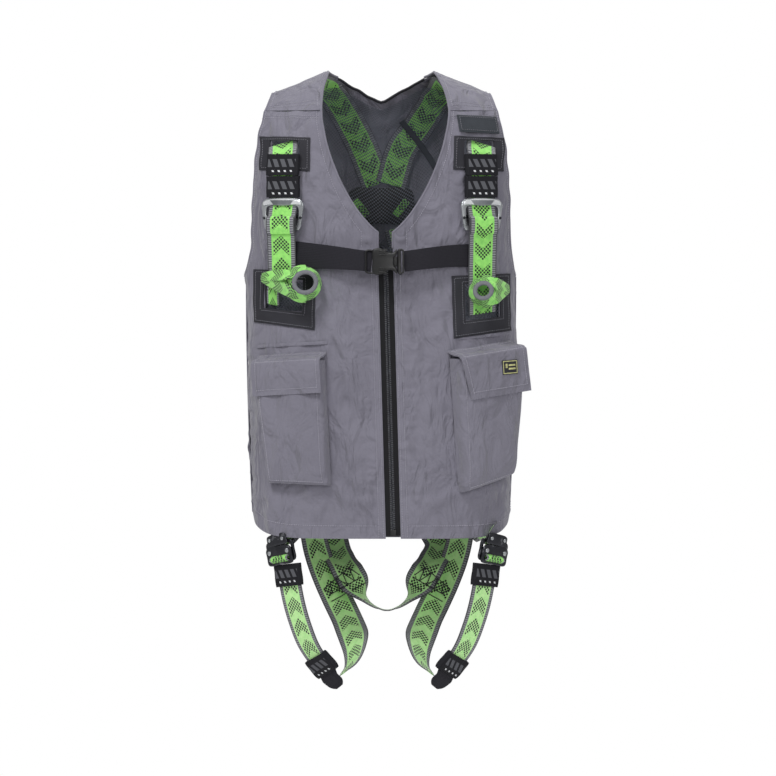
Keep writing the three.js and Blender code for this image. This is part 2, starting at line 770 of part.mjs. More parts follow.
// ---- pockets ----
// Each pocket stands square on a frame of its own; its back edge follows the shell.
const pockets = {
  right: {
    side: right,
    x: -127,
    z: -386,
    width: 101,
    height: 176,
    flap: 46,
    roll: 0.05,
    flapRoll: 0,
    taper: 10,
    lift: 8,
    depth: pocketDepth,
  },
  left: {
    side: left,
    x: 144,
    z: -374,
    width: 104,
    height: 192,
    flap: 60,
    roll: 0.07,
    flapRoll: 0.07,
    taper: 18,
    lift: 20,
    depth: pocketDepth + 9,
  },
};
const flapTop = 9; // the flap is sewn on this far above the mouth of the bag
const pocketReach = 30; // how deep a pocket is drawn before the shell cuts it

// Outline of a bag: its outer bottom corner is drawn in by the taper and up by the lift.
function bagShape(pocket, inset, mouth) {
  const { side, width, height, taper, lift } = pocket;
  const w = width / 2 - inset;
  const shape = new THREE.Shape();
  const inner = [
    [-w * side, mouth],
    [-w * side, -height + inset],
  ];
  const outer = [
    [(w - taper) * side, -height + lift + inset],
    [w * side, -height * 0.3],
    [w * side, mouth],
  ];
  shape.setFromPoints([...inner, ...outer].map(([u, v]) => new THREE.Vector2(u, v)));
  return shape;
}

for (const [hand, pocket] of Object.entries(pockets)) {
  const { side, width, depth } = pocket;
  const frame = frameAt(pocket.x, pocket.z, front, 0, pocket.roll);
  const turned = (geometry) => geometry.applyMatrix4(frame);
  const draw = (inset, mouth, from, to) =>
    new THREE.ExtrudeGeometry(bagShape(pocket, inset, mouth), { depth: to - from, bevelEnabled: false })
      .translate(0, 0, from);
  const mouth = -Math.abs(pocket.flapRoll) * (width / 2 + 2) - seamGap;
  const bag = draw(0, mouth, -pocketReach, depth);
  const hollow = draw(pocketWall, 4, -pocketReach - 4, depth - pocketWall);
  const shellBlock = sheet(frontGrid(side, yokeSeamZ - seamGap), -pocketReach - 8, layerGap);
  add(`pocket_bag_${hand}`, cutAll(turned(bag), [turned(hollow), shellBlock]), "twill");
  const profile = new THREE.Shape();
  profile.moveTo(flapTop, layerGap);
  profile.lineTo(0, depth + seamGap);
  profile.lineTo(-pocket.flap, depth + seamGap);
  profile.lineTo(-pocket.flap, depth + seamGap + flapThick);
  profile.lineTo(1, depth + seamGap + flapThick);
  profile.lineTo(flapTop, layerGap + flapThick * 1.4);
  profile.closePath();
  const flap = new THREE.ExtrudeGeometry(profile, { depth: width + 4, bevelEnabled: false });
  flap.translate(0, 0, -(width + 4) / 2);
  flap.applyMatrix4(new THREE.Matrix4().makeBasis(V(0, 1, 0), V(0, 0, 1), V(1, 0, 0)));
  const tilted = flap.applyMatrix4(new THREE.Matrix4().makeRotationZ(pocket.flapRoll));
  add(`pocket_flap_${hand}`, cutAll(turned(tilted), [shellBlock]), "twill");
}

const label = { width: 25, height: 20, thick: 1, u: 24, v: -21 };
const labelFrame = frameAt(pockets.left.x, pockets.left.z, front, 0, pockets.left.roll);
add("flap_label",
  box(label.width, label.height, label.thick, label.u, label.v,
    pockets.left.depth + seamGap + flapThick + 0.4 + label.thick / 2),
  "patch", labelFrame);

// ---- webbing under the shell ----
// Point at arc length s over the shoulder (front positive) at width x, and its outward direction.
function meridian(x, s, offset) {
  const place = (px, ps) => {
    const turn = Math.min(Math.abs(ps) / shoulderRound, Math.PI / 2);
    const below = Math.max(0, Math.abs(ps) - (shoulderRound * Math.PI) / 2);
    const z = ridgeZ(px) - shoulderRound * (1 - Math.cos(turn)) - below;
    return skin(px, z, ps > 0 ? front : back);
  };
  const over = place(x + 1, s).sub(place(x - 1, s));
  const along = place(x, s + 1).sub(place(x, s - 1));
  const out = over.cross(along).normalize();
  return { point: place(x, s).addScaledVector(out, offset), out };
}

function shoulderRun(points, width = webWidth) {
  const curve = new THREE.CatmullRomCurve3(points.map((p) => V(...p)), false, "centripetal");
  const samples = curve.getPoints((points.length - 1) * 4).map((p) => meridian(p.x, p.y, p.z));
  const path = samples.map((sample) => sample.point);
  const last = path.length - 1;
  const wide = samples.map(({ out }, i) => {
    const along = path[Math.min(i + 1, last)].clone().sub(path[Math.max(i - 1, 0)]);
    return along.cross(out);
  });
  return ribbon(path, wide, width, webThick);
}

const windowArc = 143; // arc length from the shoulder line down to the upper windows
const plateArc = -238; // and down the back to the dorsal plate
for (const { side, hand, x } of hands()) {
  const depth = side === right ? webInside : webCrossing;
  const endX = side === right ? -6 : 14;
  add(
    `back_strap_${hand}`,
    shoulderRun([
      [x, windowArc, depth],
      [x * 0.9, 80, depth],
      [side * 98, 25, depth],
      [side * 88, -30, depth],
      [side * 76 + neckCentre, -81, depth],
      [side * 48 + neckCentre, -149, depth],
      [side * 28 + 2, -185, depth],
      [endX, plateArc, depth],
    ]),
    "webbing",
  );
}

// ---- dorsal plate and ring ----
const plateThick = 2.2;
const lugGap = 0.6;
const ringLift = 9; // middle of the ring's bar above the plate
const bridgeWall = 2.2;
const plateFrame = frameAt(0, dorsalZ, back, webInside - 1.7);

function dorsalPlate() {
  const plate = box(plateWidth, plateHeight, plateThick, 0, 0, plateThick / 2);
  const slots = [right, left].map((side) =>
    new THREE.BoxGeometry(webWidth * 0.5, 5, 20)
      .rotateZ(side * 0.9)
      .translate(side * plateWidth * 0.3, -3, 0),
  );
  const boreSize = ringBar * Math.SQRT2 + lugGap; // the ring's square bar turns in it
  const height = ringLift + boreSize / 2 + bridgeWall;
  const bridge = box(30, boreSize + 2 * bridgeWall, height, 0, 0, plateThick + height / 2 - 0.5);
  const bore = box(40, boreSize, boreSize, 0, 0, plateThick + ringLift);
  return cutAll(joinAll([plate, bridge]), [...slots, bore]);
}

add("dorsal_plate", dorsalPlate(), "plastic", plateFrame);

// D-shaped ring, its straight bar through the plate's bridge.
function dorsalRing() {
  const half = ringWidth / 2;
  const outline = (grow, Kind) => {
    const shape = new Kind();
    shape.moveTo(half + grow, grow);
    shape.lineTo(-half - grow, grow);
    shape.absarc(0, -14, half + grow, Math.PI, 2 * Math.PI, false);
    shape.closePath();
    return shape;
  };
  const shape = outline(ringBar / 2, THREE.Shape);
  shape.holes.push(outline(-ringBar / 2, THREE.Path));
  return new THREE.ExtrudeGeometry(shape, { depth: ringBar, bevelEnabled: false, curveSegments: 14 })
    .translate(0, 0, -ringBar / 2);
}

const ringFrame = plateFrame.clone();
ringFrame.multiply(new THREE.Matrix4().makeTranslation(0, 0, plateThick + ringLift));
add("dorsal_ring", dorsalRing(), "alloy", ringFrame);

// ---- seat strap and leg loops ----
// Points are written for the right leg as x, y and the drop below the hem, and mirrored for the left.
function across(side, points) {
  return points.map(([x, y, drop]) => V(side === right ? x : 2 * legMirror - x, y, hemZ - drop));
}

function smooth(points, steps = 4) {
  const curve = new THREE.CatmullRomCurve3(points, false, "centripetal");
  return curve.getPoints((points.length - 1) * steps);
}

const seatDepth = -0.152 * webWidth; // the webbing is flat, so its middle lies deeper than its edges
const seatHigh = [
  [26, dorsalZ - plateHeight / 2 - 6],
  [48, -290],
  [72, -430],
  [92, hemZ + 74],
  [92, hemZ + 22],
];
const seatEdge = webWidth * 0.725; // the strap's front edge keeps clear of the thigh straps
const seatLow = [
  [-84, 95, 14],
  [-58, 92, 34],
  [-38, seatEdge + 56.1, 72],
  [-22, seatEdge + 48.1, 93],
  [legMirror, seatEdge + 42.1, 101],
];
const seatTurn = 95; // drop over which the seat strap turns from upright to flat

function seatStrap() {
  const inside = (side) =>
    seatHigh.map(([x, z]) => V(0, 0, 0).setFromMatrixPosition(frameAt(side * x, z, back, seatDepth)));
  const rising = [...inside(left), ...across(left, seatLow.slice(0, -1))].reverse();
  const points = smooth([...inside(right), ...across(right, seatLow), ...rising], 3);
  const last = points.length - 1;
  // The webbing turns from flat against the back to flat under the seat.
  const wide = points.map((point, i) => {
    const low = (clamp((hemZ - point.z) / seatTurn, 0, 1) * Math.PI) / 2;
    const hand = i < last / 2 ? -1 : 1;
    const level = new THREE.Vector3().setFromMatrixColumn(frameAt(point.x, Math.max(point.z, hemZ), back), 0);
    return level.multiplyScalar(hand * Math.cos(low)).add(V(0, Math.sin(low), 0));
  });
  return ribbon(points, wide, webWidth, webThick);
}

add("seat_strap", seatStrap(), "webbing");

const hipDepth = -8; // flat webbing under the most curved part of the shell
const hipX = webWidth / 2 - 158; // the outer edge stays clear of the side seam
const hipPoints = [
  [hipX, -334, hipDepth],
  [hipX - 1, -430, hipDepth],
  [hipX - 1, hemZ + 114, hipDepth],
  [hipX, hemZ + 38, hipDepth],
];
const thighPoints = [
  [-104, 57, 6],
  [-91, 55, 30],
  [-74, 54, 63],
  [-60, 42, 88],
  [-44, 18, 116],
  [-37, -10, 150],
  [-43, -34, 178],
  [-52, -39.8, 188.6],
];
const outerPoints = [
  [-131, -74, 38],
  [-127, -74, 65],
  [-121, -72, 94],
  [-113, -68, 121],
  [-102, -63, 149],
  [-88, -58, 171],
  [-80, -56, 180],
];
const outerWide = V(0.7, -0.71, 0);

// Frame with local X along the leg webbing's width, local Y up along it and local Z out of it.
function legFrame(side, point, along) {
  const mirror = side === right ? 1 : -1;
  const up = V(mirror * along.x, along.y, along.z).normalize();
  const wide = V(mirror * outerWide.x, outerWide.y, 0);
  const out = mirror > 0 ? wide.clone().cross(up).normalize() : up.clone().cross(wide).normalize();
  const overX = up.clone().cross(out).normalize();
  const [place] = across(side, [point]);
  return new THREE.Matrix4().makeBasis(overX, up, out).setPosition(place);
}

const legKeeperSize = { width: keeperWidth, height: 31, thick: 8 };
const endSize = { width: webWidth + 8, height: 30, thick: 13, pad: 30 };
const legBuckle = { width: webWidth + 10, height: 30, thick: 3.5, rail: 4, drop: 18 };

for (const { side, hand } of hands()) {
  const mirror = side === right ? 1 : -1;
  const face = (v) => V(mirror * v.x, v.y, v.z);
  const hip = surfaceRibbon(
    hipPoints.map(([x, z, offset]) => [side === right ? x : 2 * strapMirror - x + 4, z, offset]),
    front,
  );
  add(`hip_strap_${hand}`, hip, "webbing");

  const thigh = smooth(across(side, thighPoints), 3);
  const thighWide = thigh.map((p, i) => {
    const share = i / (thigh.length - 1);
    return face(V(lerp(0.45, 0.95, share), lerp(0.9, -0.3, share), 0));
  });
  add(`thigh_strap_${hand}`, ribbon(thigh, thighWide, webWidth, webThick), "webbing");

  const outer = smooth(across(side, outerPoints), 3);
  add(`outer_leg_strap_${hand}`, ribbon(outer, face(outerWide), webWidth, webThick), "webbing");

  const keeperAt = legFrame(side, [-129.6, -74, 51], V(-0.12, 0, 1));
  const { width, height, thick } = legKeeperSize;
  add(`leg_keeper_${hand}`, keeper(width, height, thick, 1.2), "darkWebbing", keeperAt);

  const endAt = legFrame(side, [-83, -56.8, 177], V(-0.64, -0.1, 0.76));
  const sleeve = cutAll(box(endSize.width, endSize.height, endSize.thick), [
    box(webWidth + 3, endSize.height, endSize.thick - 3.4, 0, 4, 0),
  ]);
  const pad = box(endSize.width * 0.5, endSize.pad, 3, 0, -endSize.height / 2 - endSize.pad / 2 + 2, 0);
  add(`strap_end_${hand}`, joinAll([sleeve, pad]), "darkWebbing", endAt);

  const buckleAt = legFrame(side, [-140, -72, legBuckle.drop], V(-0.2, 0, 1));
  const { rail } = legBuckle;
  const ring = cutAll(box(legBuckle.width, legBuckle.height, legBuckle.thick), [
    box(webWidth + 1, 7, 10, 0, legBuckle.height / 2 - rail - 3.5, 0),
    box(webWidth + 1, 8, 10, 0, -legBuckle.height / 2 + rail + 4, 0),
  ]);
  add(`leg_buckle_${hand}`, ring, "darkSteel", buckleAt);
  const tongueAt = buckleAt.clone().multiply(new THREE.Matrix4().makeTranslation(0, -5, 4.5));
  const tongue = cutAll(box(legBuckle.width - 4, 26, 3), [box(webWidth - 2, 6, 8, 0, -6, 0)]);
  add(`leg_tongue_${hand}`, tongue, "darkSteel", tongueAt);
}

export default vest;
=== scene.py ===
# Work vest with a built-in full body harness: cloth, webbing, buckles and their finishes.
import math
import bmesh
import bpy
import numpy as np
from mathutils import Matrix, Vector


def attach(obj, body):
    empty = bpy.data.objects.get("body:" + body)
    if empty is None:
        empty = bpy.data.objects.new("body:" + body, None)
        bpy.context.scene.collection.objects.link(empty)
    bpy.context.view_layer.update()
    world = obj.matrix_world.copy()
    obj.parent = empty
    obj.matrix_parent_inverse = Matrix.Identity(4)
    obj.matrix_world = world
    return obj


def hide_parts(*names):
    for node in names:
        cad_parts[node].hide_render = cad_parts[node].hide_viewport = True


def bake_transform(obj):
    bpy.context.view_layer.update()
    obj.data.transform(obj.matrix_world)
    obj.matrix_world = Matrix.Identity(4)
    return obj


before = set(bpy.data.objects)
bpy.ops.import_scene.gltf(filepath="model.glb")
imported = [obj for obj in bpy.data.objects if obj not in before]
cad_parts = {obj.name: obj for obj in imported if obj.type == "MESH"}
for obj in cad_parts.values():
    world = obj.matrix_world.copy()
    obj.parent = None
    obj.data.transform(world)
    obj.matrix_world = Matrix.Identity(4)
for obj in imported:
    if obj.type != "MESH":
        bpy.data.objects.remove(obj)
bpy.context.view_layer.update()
scene = bpy.context.scene
scene.view_settings.view_transform = "Standard"
print("frame loaded")

right, left = -1, 1
front, back = -1, 1
handOf = {right: "right", left: "left"}

# ---------- shape of the vest, in metres ----------
vest = {
    "chestHalf": 0.189,  # half width under the arms
    "hemHalf": 0.178,
    "halfDepth": 0.112,
    "squareness": 2.5,  # power of the rounded section
    "hemZ": -0.634,
    "hemRise": 0.036,  # the hem is this much higher at the side seams
    "shoulderRound": 0.140,
    "neckRise": 0.023,
    "neckHalf": 0.075,
    "neckWide": 0.090,
    "neckWideZ": -0.035,
    "neckDepth": 0.175,
    "neckCentre": 0.006,  # the fronts sit a little to the wearer's left
    "backNeckZ": -0.018,
    "shoulderHalf": 0.153,
    "shoulderDrop": 0.031,
    "armOut": 0.028,
    "armpitZ": -0.262,
    "yokeSeamZ": -0.034,
    "backYokeDrop": 0.008,
    "backNeckHalf": 0.0605,  # half width of the back neckline where it meets the yokes
    "zipTop": -0.232,
    "zipHalf": 0.0105,
    "zipLean": 0.028,
    "seamGap": 0.0005,
    "cloth": 0.0024,  # room for the cloth of the shell, which is 0.6 mm thinner
    "hemFold": 0.018,
    "zipFold": 0.010,
}


def mix(a, b, t):
    """a at t 0, b at t 1, straight between them."""
    return a + (b - a) * t


def ridgeZ(x):
    """Height of the shoulder line: level by the neck, then falling to the tip."""
    share = (np.abs(x) - vest["neckHalf"]) / (vest["shoulderHalf"] - vest["neckHalf"])
    return vest["neckRise"] - vest["shoulderDrop"] * np.maximum(0, share)


def halfWidthAt(z):
    """The chest's half width above the armpit, easing to the hem's with the square of the way down."""
    share = np.clip((z - vest["armpitZ"]) / (vest["hemZ"] - vest["armpitZ"]), 0, 1)
    return mix(vest["chestHalf"], vest["hemHalf"], share**2)


def depthAt(x, z):
    """Distance from the middle plane: a quarter circle down from the shoulder, times the rounded section."""
    power = vest["squareness"]
    down = np.clip((ridgeZ(x) - z) / vest["shoulderRound"], 0, 1)
    rounding = np.sqrt(1 - (1 - down) ** 2)
    over = np.clip(np.abs(x) / halfWidthAt(z), 0, 1)
    return vest["halfDepth"] * rounding * (1 - over**power) ** (1 / power)


def skin(x, z, face):
    """Points of the plain surface at x and z, on the front or the back."""
    return np.stack(np.broadcast_arrays(x, face * depthAt(x, z), z), axis=-1)


def armEdge(z):
    """Half width of the armhole edge, out from the shoulder tip and then under the arm."""
    tipZ = vest["neckRise"] - vest["shoulderDrop"]
    share = np.clip((tipZ - z) / (tipZ - vest["armpitZ"]), 0, 1)
    underArm = halfWidthAt(z) - vest["shoulderHalf"] - vest["armOut"]
    return vest["shoulderHalf"] + vest["armOut"] * (1 - (1 - share) ** 4) + underArm * share**12


def neckEdge(z):
    """Half width of the neck opening: a parabola above its widest place, a closing curve below it."""
    up = np.clip((z - vest["neckWideZ"]) / (vest["neckRise"] - vest["neckWideZ"]), 0, 1)
    upper = vest["neckWide"] - (vest["neckWide"] - vest["neckHalf"]) * up**2
    share = np.clip((vest["neckWideZ"] - z) / vest["neckDepth"], 0, 1)
    lower = vest["neckWide"] * (1 - share**1.6) ** 0.7
    return np.maximum(vest["zipHalf"], np.where(z > vest["neckWideZ"], upper, lower))


def zipX(z):
    """x of the zip's middle, leaning to the wearer's left on its way down."""
    return vest["neckCentre"] + vest["zipLean"] * np.maximum(0, vest["zipTop"] - z)


def hemAt(share):
    """Height of the hem: share is 0 in the middle and 1 at a side seam, and its fourth power counts."""
    return vest["hemZ"] + vest["hemRise"] * np.abs(share) ** 4


def angleOf(x, z):
    """Angle round the section at x, 0 in the middle and a quarter turn at a side seam."""
    share = np.clip((np.abs(x) / halfWidthAt(z)) ** (vest["squareness"] / 2), 0, 1)
    return np.sign(x) * np.arcsin(share)


def widthAt(angle, z):
    """x at an angle round the section, the inverse of angleOf."""
    return np.sign(angle) * halfWidthAt(z) * np.sin(np.abs(angle)) ** (2 / vest["squareness"])


def fullness(p):
    """1 on the vest's surface, less inside it and more outside it."""
    power = vest["squareness"]
    down = np.clip((ridgeZ(p[..., 0]) - p[..., 2]) / vest["shoulderRound"], 1e-4, 1)
    rounding = np.sqrt(1 - (1 - down) ** 2)
    sideways = np.abs(p[..., 0]) / halfWidthAt(p[..., 2])
    return sideways**power + (np.abs(p[..., 1]) / (vest["halfDepth"] * rounding)) ** power


def outward(p):
    """Unit normal of the vest's surface: the gradient of fullness, by central differences."""
    step = 2e-4
    parts = [fullness(p + step * axis) - fullness(p - step * axis) for axis in np.eye(3)]
    return unit(np.stack(parts, axis=-1))


def unit(v):
    """Vectors over their lengths."""
    return v / np.maximum(np.linalg.norm(v, axis=-1, keepdims=True), 1e-12)


def frameAt(x, z, face, offset=0.0, roll=0.0):
    """4 by 4 frame on the surface: X to the wearer's left, Y up, Z outward."""
    step = 0.002
    over = skin(x + step, z, face) - skin(x - step, z, face)
    up = skin(x, z + step, face) - skin(x, z - step, face)
    across = unit(-face * over)
    out = unit(np.cross(across, up))
    rise = unit(np.cross(out, across))
    made = np.eye(4)
    c, s = math.cos(roll), math.sin(roll)
    made[:3, 0] = across * c + rise * s
    made[:3, 1] = rise * c - across * s
    made[:3, 2] = out
    made[:3, 3] = skin(x, z, face) + out * offset
    return made


def placed(matrix, points):
    """Points moved by a 4 by 4 frame."""
    points = np.asarray(points, float)
    return points @ matrix[:3, :3].T + matrix[:3, 3]


def shifted(x=0.0, y=0.0, z=0.0):
    """Frame moved along its axes."""
    made = np.eye(4)
    made[:3, 3] = (x, y, z)
    return made


def turned(axis, angle):
    """Frame turned about one of its axes."""
    return np.array(Matrix.Rotation(angle, 4, axis))


# ---------- folds of the cloth ----------
folds = {
    "seed": 7,
    "roll": 0.0036,  # height of the broad folds
    "ripple": 0.0013,  # height of the small ones
    "crumple": 0.0022,  # height of the sharp slanting creases
    "sink": 0.0016,  # the deepest a fold goes below the plain surface
    "pucker": 0.0008,  # gathers beside a stitched seam
    "puckerPitch": 0.013,
    "crease": 2.4,  # the heights in the list below are multiplied by this
}
# each crease: from x, z to x, z, half width, height
creases = [
    (-0.150, -0.300, -0.060, -0.330, 0.010, 0.0012),
    (-0.060, -0.350, -0.020, -0.470, 0.012, 0.0016),
    (-0.035, -0.330, -0.012, -0.420, 0.009, -0.0012),
    (-0.075, -0.560, -0.020, -0.590, 0.009, 0.0014),
    (-0.165, -0.575, -0.090, -0.598, 0.008, 0.0013),
    (0.030, -0.300, 0.070, -0.460, 0.012, 0.0014),
    (0.025, -0.450, 0.075, -0.560, 0.010, -0.0013),
    (0.040, -0.590, 0.110, -0.570, 0.008, 0.0013),
    (-0.085, -0.110, -0.050, -0.200, 0.011, -0.0010),
    (0.085, -0.120, 0.055, -0.215, 0.011, -0.0010),
    (-0.168, -0.120, -0.150, -0.250, 0.010, 0.0010),
    (0.176, -0.120, 0.160, -0.240, 0.010, 0.0010),
]


def waves(u, v, seed, count, longest, shortest):
    """Sum of sines with seeded directions and lengths, about 1 at its highest."""
    rng = np.random.default_rng(seed)
    total = np.zeros(np.broadcast(u, v).shape)
    for _ in range(count):
        way, phase = rng.uniform(0, math.tau, 2)
        length = math.exp(rng.uniform(math.log(shortest), math.log(longest)))
        total = total + np.sin(math.tau * (u * math.cos(way) + v * math.sin(way)) / length + phase)
    return total / count**0.5 / 1.4


def near(distance, reach):
    """Bell curve: 1 at distance 0, 1/e at reach."""
    return np.exp(-((distance / reach) ** 2))


def drape(x, z, face):
    """Height of the folds over the plain surface: broad rolls, ripples, creases and seam gathers."""
    seed = folds["seed"] + (0 if face == front else 50)
    below = np.clip((vest["armpitZ"] + 0.05 - z) / 0.30, 0, 1)
    high = folds["roll"] * (0.35 + 0.65 * below) * waves(x * 1.5, z * 0.55, seed, 9, 0.16, 0.06)
    high = high + folds["ripple"] * waves(x, z * 0.8, seed + 1, 12, 0.045, 0.018)
    if face == front:
        for x0, z0, x1, z1, half, height in creases:
            way = np.array([x1 - x0, z1 - z0])
            along = ((x - x0) * way[0] + (z - z0) * way[1]) / (way @ way)
            across = ((x - x0) * way[1] - (z - z0) * way[0]) / np.linalg.norm(way)
            across = across + 0.004 * np.sin(9 * along)
            high = high + folds["crease"] * height * near(across, half) * near(along - 0.5, 0.55)
    slanted = waves(x * 1.0 + z * 0.5, z * 0.7 - x * 0.3, seed + 2, 7, 0.19, 0.07)
    ridge = np.maximum(0, 1 - np.abs(slanted) * 2.2) ** 2 - 0.12
    where = waves(x * 0.7, z * 0.5, seed + 3, 5, 0.30, 0.12)
    high = high + folds["crumple"] * ridge * np.clip(where + 0.35, 0, 1) * (0.25 + 0.75 * below)
    high = np.where(high < 0, -folds["sink"] * np.tanh(-high / folds["sink"]), high)
    hem = z - hemAt(angleOf(x, z) / (math.pi / 2))
    fromZip = np.abs(x - zipX(z)) - vest["zipHalf"]
    pitch = folds["puckerPitch"]
    gather = np.sin(math.tau * z / pitch + 2 * np.sin(z * 70)) * near(fromZip - 0.016, 0.013)
    gather = gather * (z < vest["zipTop"] + 0.03) * (face == front)
    gather = gather + np.sin(math.tau * x / (pitch * 1.3) + 2 * np.sin(x * 50)) * near(hem - 0.024, 0.013)
    side = halfWidthAt(z) - np.abs(x)
    gather = gather + np.sin(math.tau * z / (pitch * 1.4)) * near(side - 0.004, 0.006) * below
    high = high + folds["pucker"] * gather
    still = 1 - near(fromZip, 0.010) * (face == front)
    fold = 0.0007 / (1 + np.exp((hem - vest["hemFold"]) / 0.0009))
    if face == front:
        placket = 0.0006 / (1 + np.exp((fromZip - vest["zipFold"]) / 0.0008))
        fold = fold + placket * (z < vest["zipTop"] + 0.02)
    return high * still * np.clip(hem / 0.02 + 0.4, 0.3, 1) + fold


def onVest(x, z, face, offset=0.0):
    """Points and normals on the draped cloth, at an offset from it."""
    p = skin(x, z, face)
    n = outward(p)
    return p + n * (drape(x, z, face) + offset)[..., None], n


# ---------- colours and nodes ----------
def linear(hexColour):
    """sRGB hex to linear, with full alpha."""
    parts = [int(hexColour[i : i + 2], 16) / 255 for i in (1, 3, 5)]
    return [c / 12.92 if c <= 0.04045 else ((c + 0.055) / 1.055) ** 2.4 for c in parts] + [1.0]


def add(tree, kind, settings=None, inputs=None, out=0):
    """Adds a node, gives it its settings, values and links, and returns one of its outputs."""
    made = tree.nodes.new(kind)
    for key, value in (settings or {}).items():
        setattr(made, key, value)
    for key, value in (inputs or {}).items():
        if isinstance(value, bpy.types.NodeSocket):
            tree.links.new(value, made.inputs[key])
        else:
            made.inputs[key].default_value = value
    return made.outputs[out] if len(made.outputs) else made


def newMaterial(name):
    """Empty material and its tree."""
    material = bpy.data.materials.new(name)
    material.use_nodes = True
    material.node_tree.nodes.clear()
    return material, material.node_tree


def finishMaterial(tree, surface):
    """Puts the surface on the material's output."""
    add(tree, "ShaderNodeOutputMaterial", inputs={"Surface": surface})


def clothMaterial(name, colours, weave, bump, sheen, rough=0.88, mottle=9.0, diagonal=0.7, crush=0.0):
    """Woven cloth on UV in metres: slow colour drift, a slanted weave, fine fuzz and soft wrinkles."""
    material, tree = newMaterial(name)
    uv = add(tree, "ShaderNodeUVMap", {"uv_map": "UVMap"})
    spot = add(tree, "ShaderNodeTexCoord", out="Object")
    drift = add(tree, "ShaderNodeTexNoise", {}, {"Vector": spot, "Scale": mottle, "Detail": 6.0,
                                                 "Roughness": 0.6})
    turn = add(tree, "ShaderNodeMapping", {}, {"Vector": uv, "Rotation": (0, 0, diagonal)})
    lines = add(tree, "ShaderNodeTexWave", {"bands_direction": "X"},
                {"Vector": turn, "Scale": 0.314 / weave, "Distortion": 0.6, "Detail": 2.0,
                 "Detail Scale": 3.0}, "Fac")
    fuzz = add(tree, "ShaderNodeTexNoise", {}, {"Vector": uv, "Scale": 0.55 / weave, "Detail": 3.0})
    shade = add(tree, "ShaderNodeMath", {"operation": "MULTIPLY_ADD"}, {0: lines, 1: 0.35, 2: fuzz})
    tone = add(tree, "ShaderNodeMath", {"operation": "MULTIPLY_ADD"}, {0: drift, 1: 1.3, 2: -0.15})
    both = add(tree, "ShaderNodeMath", {"operation": "MULTIPLY_ADD", "use_clamp": True},
               {0: shade, 1: 0.55, 2: tone})
    half = add(tree, "ShaderNodeMath", {"operation": "MULTIPLY_ADD", "use_clamp": True},
               {0: both, 1: 0.9, 2: -0.1})
    colour = add(tree, "ShaderNodeMix", {"data_type": "RGBA"},
                 {0: half, 6: linear(colours[0]), 7: linear(colours[1])}, 2)
    dents = add(tree, "ShaderNodeBump", {}, {"Height": shade, "Strength": bump, "Distance": weave * 0.5},
                "Normal")
    if crush:
        slant = add(tree, "ShaderNodeMapping", {}, {"Vector": spot, "Rotation": (0, 0.6, 0),
                                                    "Scale": (1.0, 1.0, 0.5)})
        rolls = add(tree, "ShaderNodeTexNoise", {}, {
            "Vector": slant, "Scale": 30.0, "Detail": 3.0, "Roughness": 0.5, "Distortion": 0.9})
        dents = add(tree, "ShaderNodeBump", {}, {
            "Height": rolls, "Strength": 1.0, "Distance": crush, "Normal": dents}, "Normal")
    surface = add(tree, "ShaderNodeBsdfPrincipled", {}, {
        "Base Color": colour, "Roughness": rough, "Normal": dents, "Sheen Weight": sheen,
        "Sheen Roughness": 0.5,
        "Specular IOR Level": 0.25})
    finishMaterial(tree, surface)
    return material


